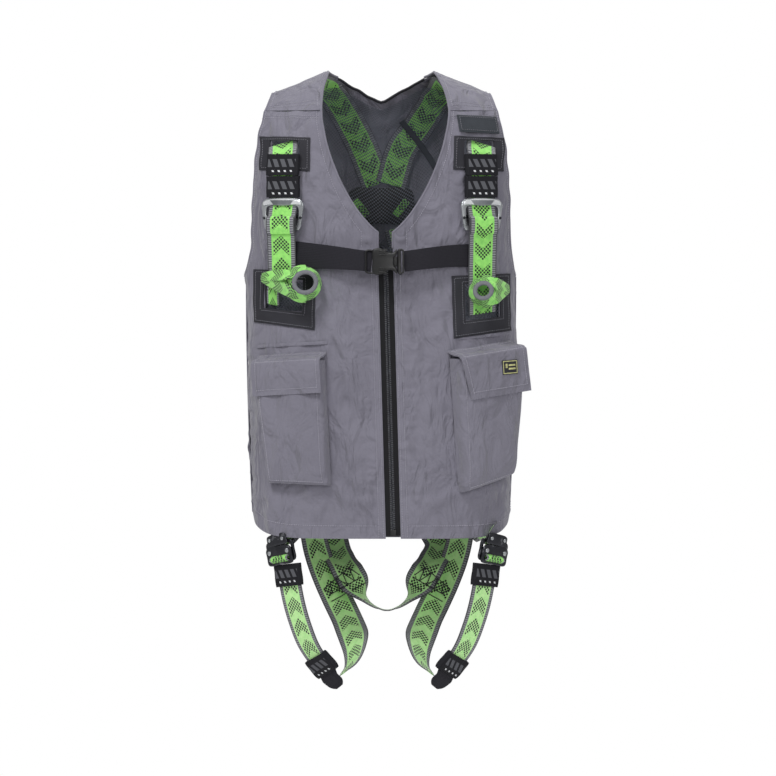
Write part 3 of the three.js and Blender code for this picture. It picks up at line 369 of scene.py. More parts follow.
def webbingMaterial(name, deep, light):
    """Polyester webbing on UV in metres, u from the middle: grey ladder-stitched borders, dotted chevrons."""
    material, tree = newMaterial(name)
    uv = add(tree, "ShaderNodeUVMap", {"uv_map": "UVMap"})
    parts = add(tree, "ShaderNodeSeparateXYZ", {}, {0: uv})
    u, v = parts, parts.node.outputs[1]
    off = add(tree, "ShaderNodeMath", {"operation": "ABSOLUTE"}, {0: u})
    slant = add(tree, "ShaderNodeMath", {"operation": "MULTIPLY_ADD"}, {0: off, 1: 0.85, 2: v})
    beat = add(tree, "ShaderNodeMath", {"operation": "DIVIDE"}, {0: slant, 1: webbing["chevronPitch"]})
    phase = add(tree, "ShaderNodeMath", {"operation": "FRACT"}, {0: beat})
    band = add(tree, "ShaderNodeMath", {"operation": "LESS_THAN"}, {0: phase, 1: 0.58})
    turn = add(tree, "ShaderNodeMapping", {}, {"Vector": uv, "Rotation": (0, 0, math.pi / 4)})
    dotCell = add(tree, "ShaderNodeTexVoronoi", {"voronoi_dimensions": "2D"},
                  {"Vector": turn, "Scale": 1 / webbing["dotPitch"], "Randomness": 0.0}, "Distance")
    dot = add(tree, "ShaderNodeMath", {"operation": "LESS_THAN"}, {0: dotCell, 1: 0.41})
    middle = add(tree, "ShaderNodeMath", {"operation": "LESS_THAN"}, {0: off, 1: webbing["printHalf"]})
    printed = add(tree, "ShaderNodeMath", {"operation": "MULTIPLY"}, {0: band, 1: dot})
    printed = add(tree, "ShaderNodeMath", {"operation": "MULTIPLY"}, {0: printed, 1: middle})
    weave = add(tree, "ShaderNodeTexWave", {"bands_direction": "Y"},
                {"Vector": uv, "Scale": 0.314 / 0.0016, "Distortion": 0.4, "Detail": 1.0}, "Fac")
    noise = add(tree, "ShaderNodeTexNoise", {}, {"Vector": uv, "Scale": 160.0, "Detail": 4.0})
    tone = add(tree, "ShaderNodeMath", {"operation": "MULTIPLY_ADD", "use_clamp": True},
               {0: weave, 1: 0.45, 2: noise})
    tone = add(tree, "ShaderNodeMath", {"operation": "MULTIPLY_ADD", "use_clamp": True},
               {0: tone, 1: 1.2, 2: -0.3})
    green = add(tree, "ShaderNodeMix", {"data_type": "RGBA"},
                {0: tone, 6: linear(deep), 7: linear(light)}, 2)
    green = add(tree, "ShaderNodeMix", {"data_type": "RGBA"},
                {0: printed, 6: green, 7: linear(webbing["print"])}, 2)
    rung = add(tree, "ShaderNodeMath", {"operation": "DIVIDE"}, {0: v, 1: 0.0032})
    rung = add(tree, "ShaderNodeMath", {"operation": "FRACT"}, {0: rung})
    rung = add(tree, "ShaderNodeMath", {"operation": "LESS_THAN"}, {0: rung, 1: 0.5})
    ladder = add(tree, "ShaderNodeMix", {"data_type": "RGBA"},
                 {0: rung, 6: linear(webbing["borderDark"]), 7: linear(webbing["borderLight"])}, 2)
    isBorder = add(tree, "ShaderNodeMath", {"operation": "GREATER_THAN"}, {0: off, 1: webbing["borderFrom"]})
    colour = add(tree, "ShaderNodeMix", {"data_type": "RGBA"}, {0: isBorder, 6: green, 7: ladder}, 2)
    isEdge = add(tree, "ShaderNodeMath", {"operation": "GREATER_THAN"}, {0: off, 1: webbing["edgeFrom"]})
    colour = add(tree, "ShaderNodeMix", {"data_type": "RGBA"},
                 {0: isEdge, 6: colour, 7: linear(webbing["edge"])}, 2)
    high = add(tree, "ShaderNodeMath", {"operation": "MULTIPLY_ADD"}, {0: isBorder, 1: 0.8, 2: weave})
    dents = add(tree, "ShaderNodeBump", {}, {"Height": high, "Strength": 0.5, "Distance": 0.0006}, "Normal")
    surface = add(tree, "ShaderNodeBsdfPrincipled", {}, {
        "Base Color": colour, "Roughness": 0.62, "Normal": dents, "Sheen Weight": 0.25,
        "Specular IOR Level": 0.4})
    finishMaterial(tree, surface)
    return material


def ribbedMaterial(name, dark, light, ribs, marks=()):
    """Plain dark webbing or elastic: ribs along its length, and light woven bars where it has marks."""
    material, tree = newMaterial(name)
    uv = add(tree, "ShaderNodeUVMap", {"uv_map": "UVMap"})
    lines = add(tree, "ShaderNodeTexWave", {"bands_direction": "X"},
                {"Vector": uv, "Scale": 0.314 / ribs, "Distortion": 0.2, "Detail": 1.0}, "Fac")
    picks = add(tree, "ShaderNodeTexWave", {"bands_direction": "Y"},
                {"Vector": uv, "Scale": 0.314 / (ribs * 0.7), "Distortion": 0.5, "Detail": 1.0}, "Fac")
    grain = add(tree, "ShaderNodeTexNoise", {}, {"Vector": uv, "Scale": 420.0, "Detail": 3.0})
    tone = add(tree, "ShaderNodeMath", {"operation": "MULTIPLY"}, {0: lines, 1: picks})
    tone = add(tree, "ShaderNodeMath", {"operation": "MULTIPLY_ADD", "use_clamp": True},
               {0: tone, 1: 0.6, 2: 0.1})
    tone = add(tree, "ShaderNodeMath", {"operation": "MULTIPLY_ADD", "use_clamp": True},
               {0: grain, 1: 0.4, 2: tone})
    colour = add(tree, "ShaderNodeMix", {"data_type": "RGBA"}, {0: tone, 6: linear(dark), 7: linear(light)},
                 2)
    parts = add(tree, "ShaderNodeSeparateXYZ", {}, {0: uv})
    u, v = parts, parts.node.outputs[1]
    for mark in marks:
        lean = add(tree, "ShaderNodeMath", {"operation": "MULTIPLY_ADD"}, {0: v, 1: mark["lean"], 2: u})
        beat = add(tree, "ShaderNodeMath", {"operation": "DIVIDE"}, {0: lean, 1: mark["pitch"]})
        beat = add(tree, "ShaderNodeMath", {"operation": "FRACT"}, {0: beat})
        bar = add(tree, "ShaderNodeMath", {"operation": "LESS_THAN"}, {0: beat, 1: mark["share"]})
        high = add(tree, "ShaderNodeMath", {"operation": "SUBTRACT"}, {0: v, 1: mark["middle"]})
        high = add(tree, "ShaderNodeMath", {"operation": "ABSOLUTE"}, {0: high})
        row = add(tree, "ShaderNodeMath", {"operation": "LESS_THAN"}, {0: high, 1: mark["half"]})
        wide = add(tree, "ShaderNodeMath", {"operation": "ABSOLUTE"}, {0: u})
        inside = add(tree, "ShaderNodeMath", {"operation": "LESS_THAN"}, {0: wide, 1: mark["reach"]})
        both = add(tree, "ShaderNodeMath", {"operation": "MULTIPLY"}, {0: bar, 1: row})
        both = add(tree, "ShaderNodeMath", {"operation": "MULTIPLY"}, {0: both, 1: inside})
        colour = add(tree, "ShaderNodeMix", {"data_type": "RGBA"},
                     {0: both, 6: colour, 7: linear(mark["colour"])}, 2)
    dents = add(tree, "ShaderNodeBump", {}, {"Height": tone, "Strength": 0.6, "Distance": 0.0005}, "Normal")
    surface = add(tree, "ShaderNodeBsdfPrincipled", {}, {
        "Base Color": colour, "Roughness": 0.8, "Normal": dents, "Specular IOR Level": 0.2})
    finishMaterial(tree, surface)
    return material


def meshMaterial(name):
    """Knitted polyester mesh: round holes on a slanted lattice, seen right through."""
    material, tree = newMaterial(name)
    uv = add(tree, "ShaderNodeUVMap", {"uv_map": "UVMap"})
    turn = add(tree, "ShaderNodeMapping", {}, {"Vector": uv, "Rotation": (0, 0, math.pi / 4)})
    cell = add(tree, "ShaderNodeTexVoronoi", {"voronoi_dimensions": "2D"},
               {"Vector": turn, "Scale": 1 / lining["holePitch"], "Randomness": 0.0}, "Distance")
    solid = add(tree, "ShaderNodeMath", {"operation": "GREATER_THAN"}, {0: cell, 1: lining["hole"]})
    noise = add(tree, "ShaderNodeTexNoise", {}, {"Vector": uv, "Scale": 30.0, "Detail": 5.0})
    colour = add(tree, "ShaderNodeMix", {"data_type": "RGBA"},
                 {0: noise, 6: linear(lining["dark"]), 7: linear(lining["light"])}, 2)
    dents = add(tree, "ShaderNodeBump", {}, {"Height": cell, "Strength": 0.5, "Distance": 0.0006}, "Normal")
    surface = add(tree, "ShaderNodeBsdfPrincipled", {}, {
        "Base Color": colour, "Roughness": 0.6, "Normal": dents, "Alpha": solid})
    finishMaterial(tree, surface)
    return material


def solidMaterial(name, dark, light, rough, metallic=0.0, grain=900.0, bump=0.15, coat=0.0, wear=None):
    """Plastic, metal or thread: fine grain in colour and height, with paler worn places where asked."""
    material, tree = newMaterial(name)
    spot = add(tree, "ShaderNodeTexCoord", out="Object")
    fine = add(tree, "ShaderNodeTexNoise", {}, {"Vector": spot, "Scale": grain, "Detail": 4.0})
    broad = add(tree, "ShaderNodeTexNoise", {}, {"Vector": spot, "Scale": grain / 12, "Detail": 5.0})
    tone = add(tree, "ShaderNodeMath", {"operation": "MULTIPLY_ADD", "use_clamp": True},
               {0: fine, 1: 0.5, 2: broad})
    tone = add(tree, "ShaderNodeMath", {"operation": "MULTIPLY_ADD", "use_clamp": True},
               {0: tone, 1: 1.4, 2: -0.5})
    colour = add(tree, "ShaderNodeMix", {"data_type": "RGBA"}, {0: tone, 6: linear(dark), 7: linear(light)},
                 2)
    if wear:
        worn = add(tree, "ShaderNodeMath", {"operation": "GREATER_THAN"}, {0: broad, 1: 0.62})
        colour = add(tree, "ShaderNodeMix", {"data_type": "RGBA"}, {0: worn, 6: colour, 7: linear(wear)}, 2)
    gloss = add(tree, "ShaderNodeMath", {"operation": "MULTIPLY_ADD"}, {0: broad, 1: 0.18, 2: rough - 0.09})
    dents = add(tree, "ShaderNodeBump", {}, {"Height": fine, "Strength": bump, "Distance": 0.0003}, "Normal")
    surface = add(tree, "ShaderNodeBsdfPrincipled", {}, {
        "Base Color": colour, "Roughness": gloss, "Metallic": metallic, "Normal": dents, "Coat Weight": coat})
    finishMaterial(tree, surface)
    return material


# ---------- meshes ----------
def buildMesh(name, points, groups, uvs=None):
    """Mesh from points and arrays of faces, turned so that its closed volume is positive."""
    points = np.ascontiguousarray(points, float).reshape(-1, 3)
    total = 0.0
    middle = points.mean(0)
    for faces in groups:
        first = points[faces[:, 0]] - middle
        for k in range(1, faces.shape[1] - 1):
            second, third = points[faces[:, k]] - middle, points[faces[:, k + 1]] - middle
            total += float(np.einsum("ij,ij->i", first, np.cross(second, third)).sum())
    if total < 0:
        groups = [faces[:, ::-1] for faces in groups]
        uvs = [u[:, ::-1] for u in uvs] if uvs is not None else None
    mesh = bpy.data.meshes.new(name)
    mesh.vertices.add(len(points))
    mesh.vertices.foreach_set("co", points.astype(np.float32).ravel())
    corners = np.concatenate([faces.ravel() for faces in groups]).astype(np.int32)
    sizes = np.concatenate([np.full(len(faces), faces.shape[1]) for faces in groups])
    starts = np.concatenate([[0], np.cumsum(sizes)[:-1]]).astype(np.int32)
    mesh.loops.add(len(corners))
    mesh.loops.foreach_set("vertex_index", corners)
    mesh.polygons.add(len(sizes))
    mesh.polygons.foreach_set("loop_start", starts)
    mesh.update(calc_edges=True)
    if uvs is not None:
        layer = mesh.uv_layers.new(name="UVMap")
        flat = np.concatenate([u.reshape(-1, 2) for u in uvs]).astype(np.float32)
        layer.data.foreach_set("uv", flat.ravel())
    mesh.shade_smooth()
    mesh.set_sharp_from_angle(angle=math.radians(42))
    return mesh


def sheetMesh(name, points, normals, low, high, uv, keep=None, wrap=False):
    """Closed cloth between two offsets of a grid of points, with holes where keep is false."""
    rows, cols = points.shape[:2]
    layer = rows * cols
    outer = points + normals * np.asarray(high)[..., None]
    inner = points + normals * np.asarray(low)[..., None]
    index = np.arange(layer).reshape(rows, cols)
    if wrap:
        index = np.concatenate([index, index[:, :1]], axis=1)
    spot = np.arange(uv.shape[0] * uv.shape[1]).reshape(uv.shape[:2])
    cells = (rows - 1, index.shape[1] - 1)
    keep = np.ones(cells, bool) if keep is None else keep

    def corners(grid):
        """The four corners of each cell."""
        return [grid[:-1, :-1], grid[1:, :-1], grid[1:, 1:], grid[:-1, 1:]]

    at, uvAt = corners(index), corners(spot)
    faces = [np.stack(at, -1)[keep], np.stack([at[0], at[3], at[2], at[1]], -1)[keep] + layer]
    uvFaces = [np.stack(uvAt, -1)[keep], np.stack([uvAt[0], uvAt[3], uvAt[2], uvAt[1]], -1)[keep]]
    padded = np.pad(keep, ((1, 1), (1, 1)))
    if wrap:
        padded[1:-1, 0], padded[1:-1, -1] = keep[:, -1], keep[:, 0]
    beside = [padded[1:-1, :-2], padded[2:, 1:-1], padded[1:-1, 2:], padded[:-2, 1:-1]]
    for k in range(4):
        rim = keep & ~beside[k]
        p, q = at[k][rim], at[(k + 1) % 4][rim]
        faces.append(np.stack([q, p, p + layer, q + layer], -1))
        a, b = uvAt[k][rim], uvAt[(k + 1) % 4][rim]
        uvFaces.append(np.stack([b, a, a, b], -1))
    flat = uv.reshape(-1, 2)
    allFaces, allUv = np.concatenate(faces), flat[np.concatenate(uvFaces)]
    points = np.concatenate([outer.reshape(-1, 3), inner.reshape(-1, 3)])
    used = np.unique(allFaces)
    place = np.full(len(points), -1)
    place[used] = np.arange(len(used))
    return buildMesh(name, points[used], [place[allFaces]], [allUv])


def flatProfile(width, thick, steps=8):
    """Section of webbing: flat on both faces, thinning to rounded edges."""
    t = np.cos(np.linspace(0, math.pi, steps + 1))
    across = t * width / 2
    half = thick / 2 * (1 - 0.55 * np.abs(t) ** 10)
    upper = np.stack([across, half], -1)
    lower = np.stack([across[::-1], -half[::-1]], -1)
    return np.concatenate([upper, lower])


def roundProfile(width, thick, steps=12, power=2.0):
    """Section whose half axes are width and thick over 2: an oval, or squarer with a higher power."""
    a = np.linspace(0, math.tau, steps, endpoint=False)
    c, s = np.cos(a), np.sin(a)
    u = np.sign(c) * np.abs(c) ** (2 / power) * width / 2
    v = np.sign(s) * np.abs(s) ** (2 / power) * thick / 2
    return np.stack([u, v], -1)


circle = np.linspace(0, math.tau, 64, endpoint=False)


def disc(radius, x, y):
    """Round outline about x, y."""
    return np.stack([np.cos(circle), np.sin(circle)], -1)[::3] * radius + [x, y]


def alongOf(path, closed=False):
    """Unit direction of a path at each of its points."""
    if closed:
        return unit(np.roll(path, -1, 0) - np.roll(path, 1, 0))
    return unit(np.gradient(path, axis=0))


def sweepMesh(name, path, wide, profile, scale=None, closed=False, flip=1.0, start=0.0, middle=None):
    """A profile carried along a path; wide is the direction of its width, scale its size at each point."""
    path = np.asarray(path, float)
    way = alongOf(path, closed)
    wide = np.broadcast_to(np.asarray(wide, float), path.shape)
    wide = unit(wide - (wide * way).sum(-1, keepdims=True) * way)
    out = np.cross(way, wide)
    scale = np.ones((len(path), 2)) if scale is None else np.broadcast_to(scale, (len(path), 2))
    across = profile[None, :, 0] * scale[:, 0:1]
    above = profile[None, :, 1] * scale[:, 1:2]
    points = path[:, None] + wide[:, None] * across[..., None] + out[:, None] * above[..., None]
    n, m = points.shape[:2]
    index = np.arange(n * m).reshape(n, m)
    steps = np.linalg.norm(np.diff(path, axis=0), axis=-1)
    length = start + flip * np.concatenate([[0], np.cumsum(steps)])
    if middle is not None:
        length = -np.abs(length - length[middle])
    u = np.broadcast_to(profile[None, :, 0], (n, m))
    if closed:
        index = np.concatenate([index, index[:1]])
        gap = np.linalg.norm(path[0] - path[-1])
        length = np.append(length, length[-1] + flip * gap)
        u = np.concatenate([u, u[:1]])
    uv = np.stack([u, np.broadcast_to(length[:, None], u.shape)], -1)
    index = np.concatenate([index, index[:, :1]], 1)
    uv = np.concatenate([uv, uv[:, :1]], 1)
    quads = np.stack([index[:-1, :-1], index[1:, :-1], index[1:, 1:], index[:-1, 1:]], -1).reshape(-1, 4)
    quadUv = np.stack([uv[:-1, :-1], uv[1:, :-1], uv[1:, 1:], uv[:-1, 1:]], 2).reshape(-1, 4, 2)
    groups, uvs = [quads], [quadUv]
    if not closed:
        ends = np.stack([index[0, :-1], index[-1, -2::-1]])
        groups.append(ends)
        uvs.append(np.stack([uv[0, :-1], uv[-1, -2::-1]]))
    return buildMesh(name, points, groups, uvs)


def plateMesh(name, outlines, depth, bevel, matrix):
    """Flat plate with rounded edges from closed outlines, holes among them, then put in its frame."""
    curve = bpy.data.curves.new(name, "CURVE")
    curve.dimensions = "2D"
    curve.fill_mode = "BOTH"
    curve.extrude = max(depth / 2 - bevel, 1e-5)
    curve.bevel_depth = bevel
    curve.bevel_resolution = 2
    curve.offset = -bevel
    for outline in outlines:
        spline = curve.splines.new("POLY")
        spline.points.add(len(outline) - 1)
        flat = np.concatenate([outline, np.zeros((len(outline), 1)), np.ones((len(outline), 1))], 1)
        spline.points.foreach_set("co", flat.ravel())
        spline.use_cyclic_u = True
    holder = bpy.data.objects.new(name, curve)
    scene.collection.objects.link(holder)
    made = bpy.data.meshes.new_from_object(holder.evaluated_get(bpy.context.evaluated_depsgraph_get()))
    bpy.data.objects.remove(holder)
    bpy.data.curves.remove(curve)
    return tidyMesh(made, matrix)


def tidyMesh(mesh, matrix):
    """Merges double points, turns the faces outward and puts the mesh in its frame."""
    work = bmesh.new()
    work.from_mesh(mesh)
    bmesh.ops.remove_doubles(work, verts=work.verts, dist=2e-6)
    bmesh.ops.recalc_face_normals(work, faces=work.faces)
    work.to_mesh(mesh)
    work.free()
    mesh.transform(Matrix(matrix.tolist()))
    mesh.shade_smooth()
    mesh.set_sharp_from_angle(angle=math.radians(35))
    return mesh


def smoothPath(points, steps=8):
    """Centripetal Catmull-Rom curve through points of any number of columns."""
    points = np.asarray(points, float)
    ends = [2 * points[0] - points[1], *points, 2 * points[-1] - points[-2]]
    made = []
    for p0, p1, p2, p3 in zip(ends, ends[1:], ends[2:], ends[3:]):
        knots = np.cumsum([0] + [max(np.linalg.norm(b - a) ** 0.5, 1e-9) for a,
                                 b in ((p0, p1), (p1, p2), (p2, p3))])
        t = np.linspace(knots[1], knots[2], steps, endpoint=False)[:, None]
        k0, k1, k2, k3 = knots
        a1 = (k1 - t) / (k1 - k0) * p0 + (t - k0) / (k1 - k0) * p1
        a2 = (k2 - t) / (k2 - k1) * p1 + (t - k1) / (k2 - k1) * p2
        a3 = (k3 - t) / (k3 - k2) * p2 + (t - k2) / (k3 - k2) * p3
        b1 = (k2 - t) / (k2 - k0) * a1 + (t - k0) / (k2 - k0) * a2
        b2 = (k3 - t) / (k3 - k1) * a2 + (t - k1) / (k3 - k1) * a3
        made.append((k2 - t) / (k2 - k1) * b1 + (t - k1) / (k2 - k1) * b2)
    made.append(points[-1:])
    return np.concatenate(made)


def piece(name, mesh, material, body, replaced=(), ride=True):
    """Object for a mesh that is already in place, with its finish, its body and the nodes it stands for."""
    made = bpy.data.objects.new(name, mesh)
    scene.collection.objects.link(made)
    mesh.materials.clear()
    mesh.materials.append(material)
    if ride:
        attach(made, body)
    if replaced:
        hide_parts(*replaced)
    return made


def platePiece(name, outlines, depth, bevel, matrix, material, body, replaced=()):
    """A piece cut from flat outlines."""
    return piece(name, plateMesh(name, outlines, depth, bevel, matrix), material, body, replaced)


def sweepPiece(name, path, wide, profile, material, body, slot, replaced=(), **shape):
    """A piece carried along a path."""
    return piece(name, sweepMesh(name, path, wide, profile, **shape), material, body, replaced)


stitchLift = 0.0002
stitchSizes = {"pitch": 0.0034, "length": 0.0025, "width": 0.0009, "height": 0.0007}


def stitchMesh(name, rows, pitch=None, length=None, width=None, height=None):
    """Stitches along rows of points with normals: each a small rounded bar that bulges from the cloth."""
    size = {**stitchSizes, **{k: v for k, v in dict(pitch=pitch, length=length, width=width,
                                                    height=height).items() if v}}
    centres, ways, ups = [], [], []
    for points, normals in rows:
        steps = np.linalg.norm(np.diff(points, axis=0), axis=-1)
        run = np.concatenate([[0], np.cumsum(steps)])
        at = np.arange(size["pitch"] / 2, run[-1], size["pitch"])
        centre = np.stack([np.interp(at, run, points[:, k]) for k in range(3)], -1)
        ahead = np.stack([np.interp(at + 1e-4, run, points[:, k]) for k in range(3)], -1)
        behind = np.stack([np.interp(at - 1e-4, run, points[:, k]) for k in range(3)], -1)
        centres.append(centre)
        ways.append(unit(ahead - behind))
        ups.append(np.stack([np.interp(at, run, normals[:, k]) for k in range(3)], -1))
    centre, way, up = np.concatenate(centres), np.concatenate(ways), unit(np.concatenate(ups))
    side = np.cross(way, up)
    along = np.array([-0.5, -0.3, 0.3, 0.5]) * size["length"]
    grow = np.array([0.35, 1, 1, 0.35])
    ring = np.array([[-0.5, 0.1], [0, 1], [0.5, 0.1], [0, -0.6]])
    a = along[:, None] * np.ones(4)
    s = grow[:, None] * ring[None, :, 0] * size["width"]
    h = grow[:, None] * ring[None, :, 1] * size["height"]
    shape = np.stack([a, s, h], -1).reshape(-1, 3)
    points = (centre[:, None] + way[:, None] * shape[None, :, 0:1] + side[:, None] * shape[None, :, 1:2]
              + up[:, None] * shape[None, :, 2:3])
    quads = [[r * 4 + c, r * 4 + (c + 1) % 4, (r + 1) * 4 + (c + 1) % 4,
              (r + 1) * 4 + c] for r in range(3) for c in range(4)]
    quads += [[3, 2, 1, 0], [12, 13, 14, 15]]
    quads = np.array(quads)
    faces = (quads[None] + 16 * np.arange(len(centre))[:, None, None]).reshape(-1, 4)
    return buildMesh(name, points, [faces])


# ---------- finishes ----------
twill = {"dark": "#62606B", "light": "#7A7884", "weave": 0.0016}
webbing = {
    "width": 0.044,
    "thick": 0.0018,
    "chevronPitch": 0.031,
    "dotPitch": 0.0039,
    "printHalf": 0.0125,
    "borderFrom": 0.0152,
    "edgeFrom": 0.0206,
    "greenDeep": "#62BA4C",
    "greenLight": "#A6EA78",
    # painted light: the harness green made paler for the leg straps, which sit in shade under the vest
    "legDeepPaintedLight": "#92DE7A",
    "legPalePaintedLight": "#D2F9B0",
    "print": "#0C130F",
    "borderDark": "#4E4F54",
    "borderLight": "#8A8B90",
    "edge": "#3A3B3F",
}
lining = {"holePitch": 0.0036, "hole": 0.46, "dark": "#343840", "light": "#737985"}
keeperMarks = [  # woven bars: a broad grey row and a fine pale one
    {"lean": 0.45, "pitch": 0.0118, "share": 0.6, "middle": 0.0022, "half": 0.0056,
     "reach": 0.022, "colour": "#56575C"},
    {"lean": 0.45, "pitch": 0.0096, "share": 0.34, "middle": -0.0092, "half": 0.0013,
     "reach": 0.018, "colour": "#C9CBCE"},
]

twillCloth = clothMaterial("greyTwill", (twill["dark"], twill["light"]), twill["weave"], 0.45, 0.2,
                           crush=0.016)
patchCloth = clothMaterial("coatedPatchCloth", ("#1E1D22", "#303036"), 0.0013, 0.35, 0.02, 0.75, 14.0)
bindingCloth = clothMaterial("edgeBinding", ("#605E69", "#777581"), 0.0014, 0.35, 0.2)
hookCloth = clothMaterial("hookAndLoop", ("#24272C", "#3C4046"), 0.0011, 1.0, 0.1, 0.95, 60.0)
liningTape = clothMaterial("liningTape", ("#24262C", "#3A3D45"), 0.0011, 0.4, 0.0)
zipCloth = clothMaterial("zipTape", ("#0B0B0D", "#151518"), 0.0011, 0.5, 0.0, 0.8, 20.0, 1.57)
harnessWebbing = webbingMaterial("harnessWebbing", webbing["greenDeep"], webbing["greenLight"])
# paler copy of the harness webbing for the leg straps: painted light
paintedLightLegWebbing = webbingMaterial("paintedLightLegWebbing", webbing["legDeepPaintedLight"], webbing["legPalePaintedLight"])
darkWebbing = ribbedMaterial("darkWebbing", "#17161B", "#2C2B32", 0.0026)
keeperElastic = ribbedMaterial("keeperElastic", "#101014", "#242429", 0.0022, keeperMarks)
loopEdge = ribbedMaterial("greyWebbingEdge", "#4B4C51", "#8D8E94", 0.0018)
knitMesh = meshMaterial("knitMesh")
mouldedPlastic = solidMaterial("mouldedAcetal", "#050506", "#0A0A0C", 0.44, 0.0, 1400.0, 0.2)
whiteAlloy = solidMaterial("satinAlloy", "#8B8F92", "#BFC2C5", 0.3, 0.85, 700.0, 0.1, 0.1)
# paler copy of the satin alloy for the adjusters' top bars: painted highlight
paintedHighlightAlloy = solidMaterial("paintedHighlightAlloy", "#C6C9CC", "#EEF0F2", 0.25, 0.6, 700.0, 0.08, 0.2)
# darker copy of the satin alloy for the adjusters' facets: painted shade
paintedShadeFacetAlloy = solidMaterial("paintedShadeFacetAlloy", "#6F7377", "#95999D", 0.35, 0.8, 700.0, 0.1)
darkSteel = solidMaterial("blackenedSteel", "#2A2B2F", "#45464B", 0.32, 0.9, 900.0, 0.15, 0.0, "#6A6B70")
zipTeeth = solidMaterial("zipTeeth", "#2C2D31", "#4E4F55", 0.35, 0.2, 1200.0, 0.1)
paleThread = solidMaterial("paleThread", "#8B8995", "#A5A3AE", 0.7, 0.0, 2500.0, 0.4)
darkThread = solidMaterial("darkThread", "#15151A", "#2B2B30", 0.7, 0.0, 2500.0, 0.4)
greyThread = solidMaterial("greyThread", "#55545B", "#77767E", 0.7, 0.0, 2500.0, 0.4)
print("finishes made")


# ---------- camera and light, first because the framing follows the frame ----------
view = {"aim": (0.0098, -0.4228), "front": -0.112, "distance": 20.0, "width": 1.0864}
camera = bpy.data.objects.new("camera", bpy.data.cameras.new("camera"))
camera.location = (view["aim"][0], view["front"] - view["distance"], view["aim"][1])
camera.rotation_euler = (math.pi / 2, 0, 0)
camera.data.sensor_width = 36
camera.data.lens = 36 * view["distance"] / view["width"]
camera.data.clip_end = 100
scene.collection.objects.link(camera)
scene.camera = camera

lights = [  # place, power in watts, size in metres
    ((-1.3, -2.1, 2.3), 72, 0.8),
    ((1.3, -3.3, 0.6), 34, 1.2),
    ((0.2, 0.3, 2.6), 26, 1.4),
    ((0.2, 2.8, 0.6), 26, 2.2),
]
for number, (place, power, size) in enumerate(lights):
    lamp = bpy.data.lights.new(f"softBox{number}", "AREA")
    lamp.energy, lamp.size = power, size
    holder = bpy.data.objects.new(f"softBox{number}", lamp)
    holder.location = place
    aim = np.array([0, 0, -0.4]) - np.array(place)
    holder.rotation_mode = "QUATERNION"
    holder.rotation_quaternion = Vector(aim).to_track_quat("-Z", "Y")
    scene.collection.objects.link(holder)

world = bpy.data.worlds.new("studio")
scene.world = world
world.use_nodes = True
world.node_tree.nodes["Background"].inputs[0].default_value = (1, 1, 1, 1)
seen = add(world.node_tree, "ShaderNodeLightPath")
strength = add(world.node_tree, "ShaderNodeMath", {"operation": "MULTIPLY_ADD"}, {0: seen, 1: 0.52, 2: 0.48})
world.node_tree.links.new(strength, world.node_tree.nodes["Background"].inputs[1])

floorRim = np.stack([np.cos(circle) * 2.6, np.sin(circle) * 2.6, np.full(64, -1.28)], -1)
floorMesh = buildMesh("floor", floorRim, [np.arange(64)[None]])
floor = bpy.data.objects.new("floor", floorMesh)
scene.collection.objects.link(floor)
floorMesh.materials.append(solidMaterial("paleFloor", "#E4E4E4", "#F0F0F0", 0.8, 0.0, 60.0, 0.05))


# ---------- shell ----------
shell = {"cols": 110, "rows": 190, "backCols": 150, "backRows": 170}
shellLow = 0.0006 - vest["cloth"]  # the inner face of the cloth, from its outer one
strapX, strapMirror = -0.134, 0.0015
webInside = -0.114 * webbing["width"]


def strapPlace(side):
    """x of a shoulder strap's middle."""
    return strapX if side == right else 2 * strapMirror - strapX


upperWindow = {"z": -0.086, "width": 0.04776, "height": 0.020}
lowerWindow = {
    right: {"x": -0.136, "z": -0.292, "width": 0.062, "height": 0.044, "edge": 0.177},
    left: {"x": 0.142, "z": -0.301, "width": 0.058, "height": 0.050, "edge": 0.181},
}


def insideWindow(points, x, z, width, height, face, margin):
    """True where the points lie in a window's box, which stands on the surface's own frame."""
    m = frameAt(x, z, face)
    local = (points - m[:3, 3]) @ m[:3, :3]
    return ((np.abs(local[..., 0]) < width / 2 + margin) & (np.abs(local[..., 1]) < height / 2 + margin)
            & (np.abs(local[..., 2]) < 0.02))


def gridLength(points):
    """u and v in metres over a grid, so that a weave keeps its size."""
    over = np.linalg.norm(np.diff(points, axis=1), axis=-1).mean(0)
    down = np.linalg.norm(np.diff(points, axis=0), axis=-1).mean(1)
    u = np.concatenate([[0], np.cumsum(over)])
    v = -np.concatenate([[0], np.cumsum(down)])
    return np.stack(np.broadcast_arrays(u[None, :], v[:, None]), -1)


def cellMiddle(points):
    """Middle of each cell of a grid."""
    return (points[:-1, :-1] + points[1:, 1:]) / 2


def frontGrid(side, cols, rows):
    """x and z over one front, from the zip and the neck edge out to the armhole and the side seam."""
    r, c = np.meshgrid(np.linspace(0, 1, rows + 1), np.linspace(0, 1, cols + 1), indexing="ij")
    z = mix(vest["yokeSeamZ"] - vest["seamGap"], hemAt(c), r)
    middle = np.where(z > vest["zipTop"], vest["neckCentre"], zipX(z))
    inner = neckEdge(z) + side * middle
    outer = np.where(z > vest["armpitZ"], armEdge(z), halfWidthAt(z))
    b = np.minimum(angleOf(outer, z), math.pi / 2 - 1e-3)
    return side * widthAt(mix(angleOf(inner, z), b, c), z), z


vestRows = []
fronts = {}
for side in (right, left):
    hand = handOf[side]
    x, z = frontGrid(side, shell["cols"], shell["rows"])
    points, normals = onVest(x, z, front)
    fronts[side] = (x, z, points, normals)
    low = lowerWindow[side]
    middle = cellMiddle(points)
    hole = insideWindow(middle, strapPlace(side), upperWindow["z"], upperWindow["width"],
                        upperWindow["height"],
                        front, 0.001)
    hole |= insideWindow(middle, low["x"], low["z"], low["width"], low["height"], front, 0.002)
    mesh = sheetMesh(f"front_{hand}", points, normals, shellLow, 0.0, gridLength(points), ~hole)
    made = piece(f"front_{hand}", mesh, twillCloth, "vest", [f"front_panel_{hand}"])


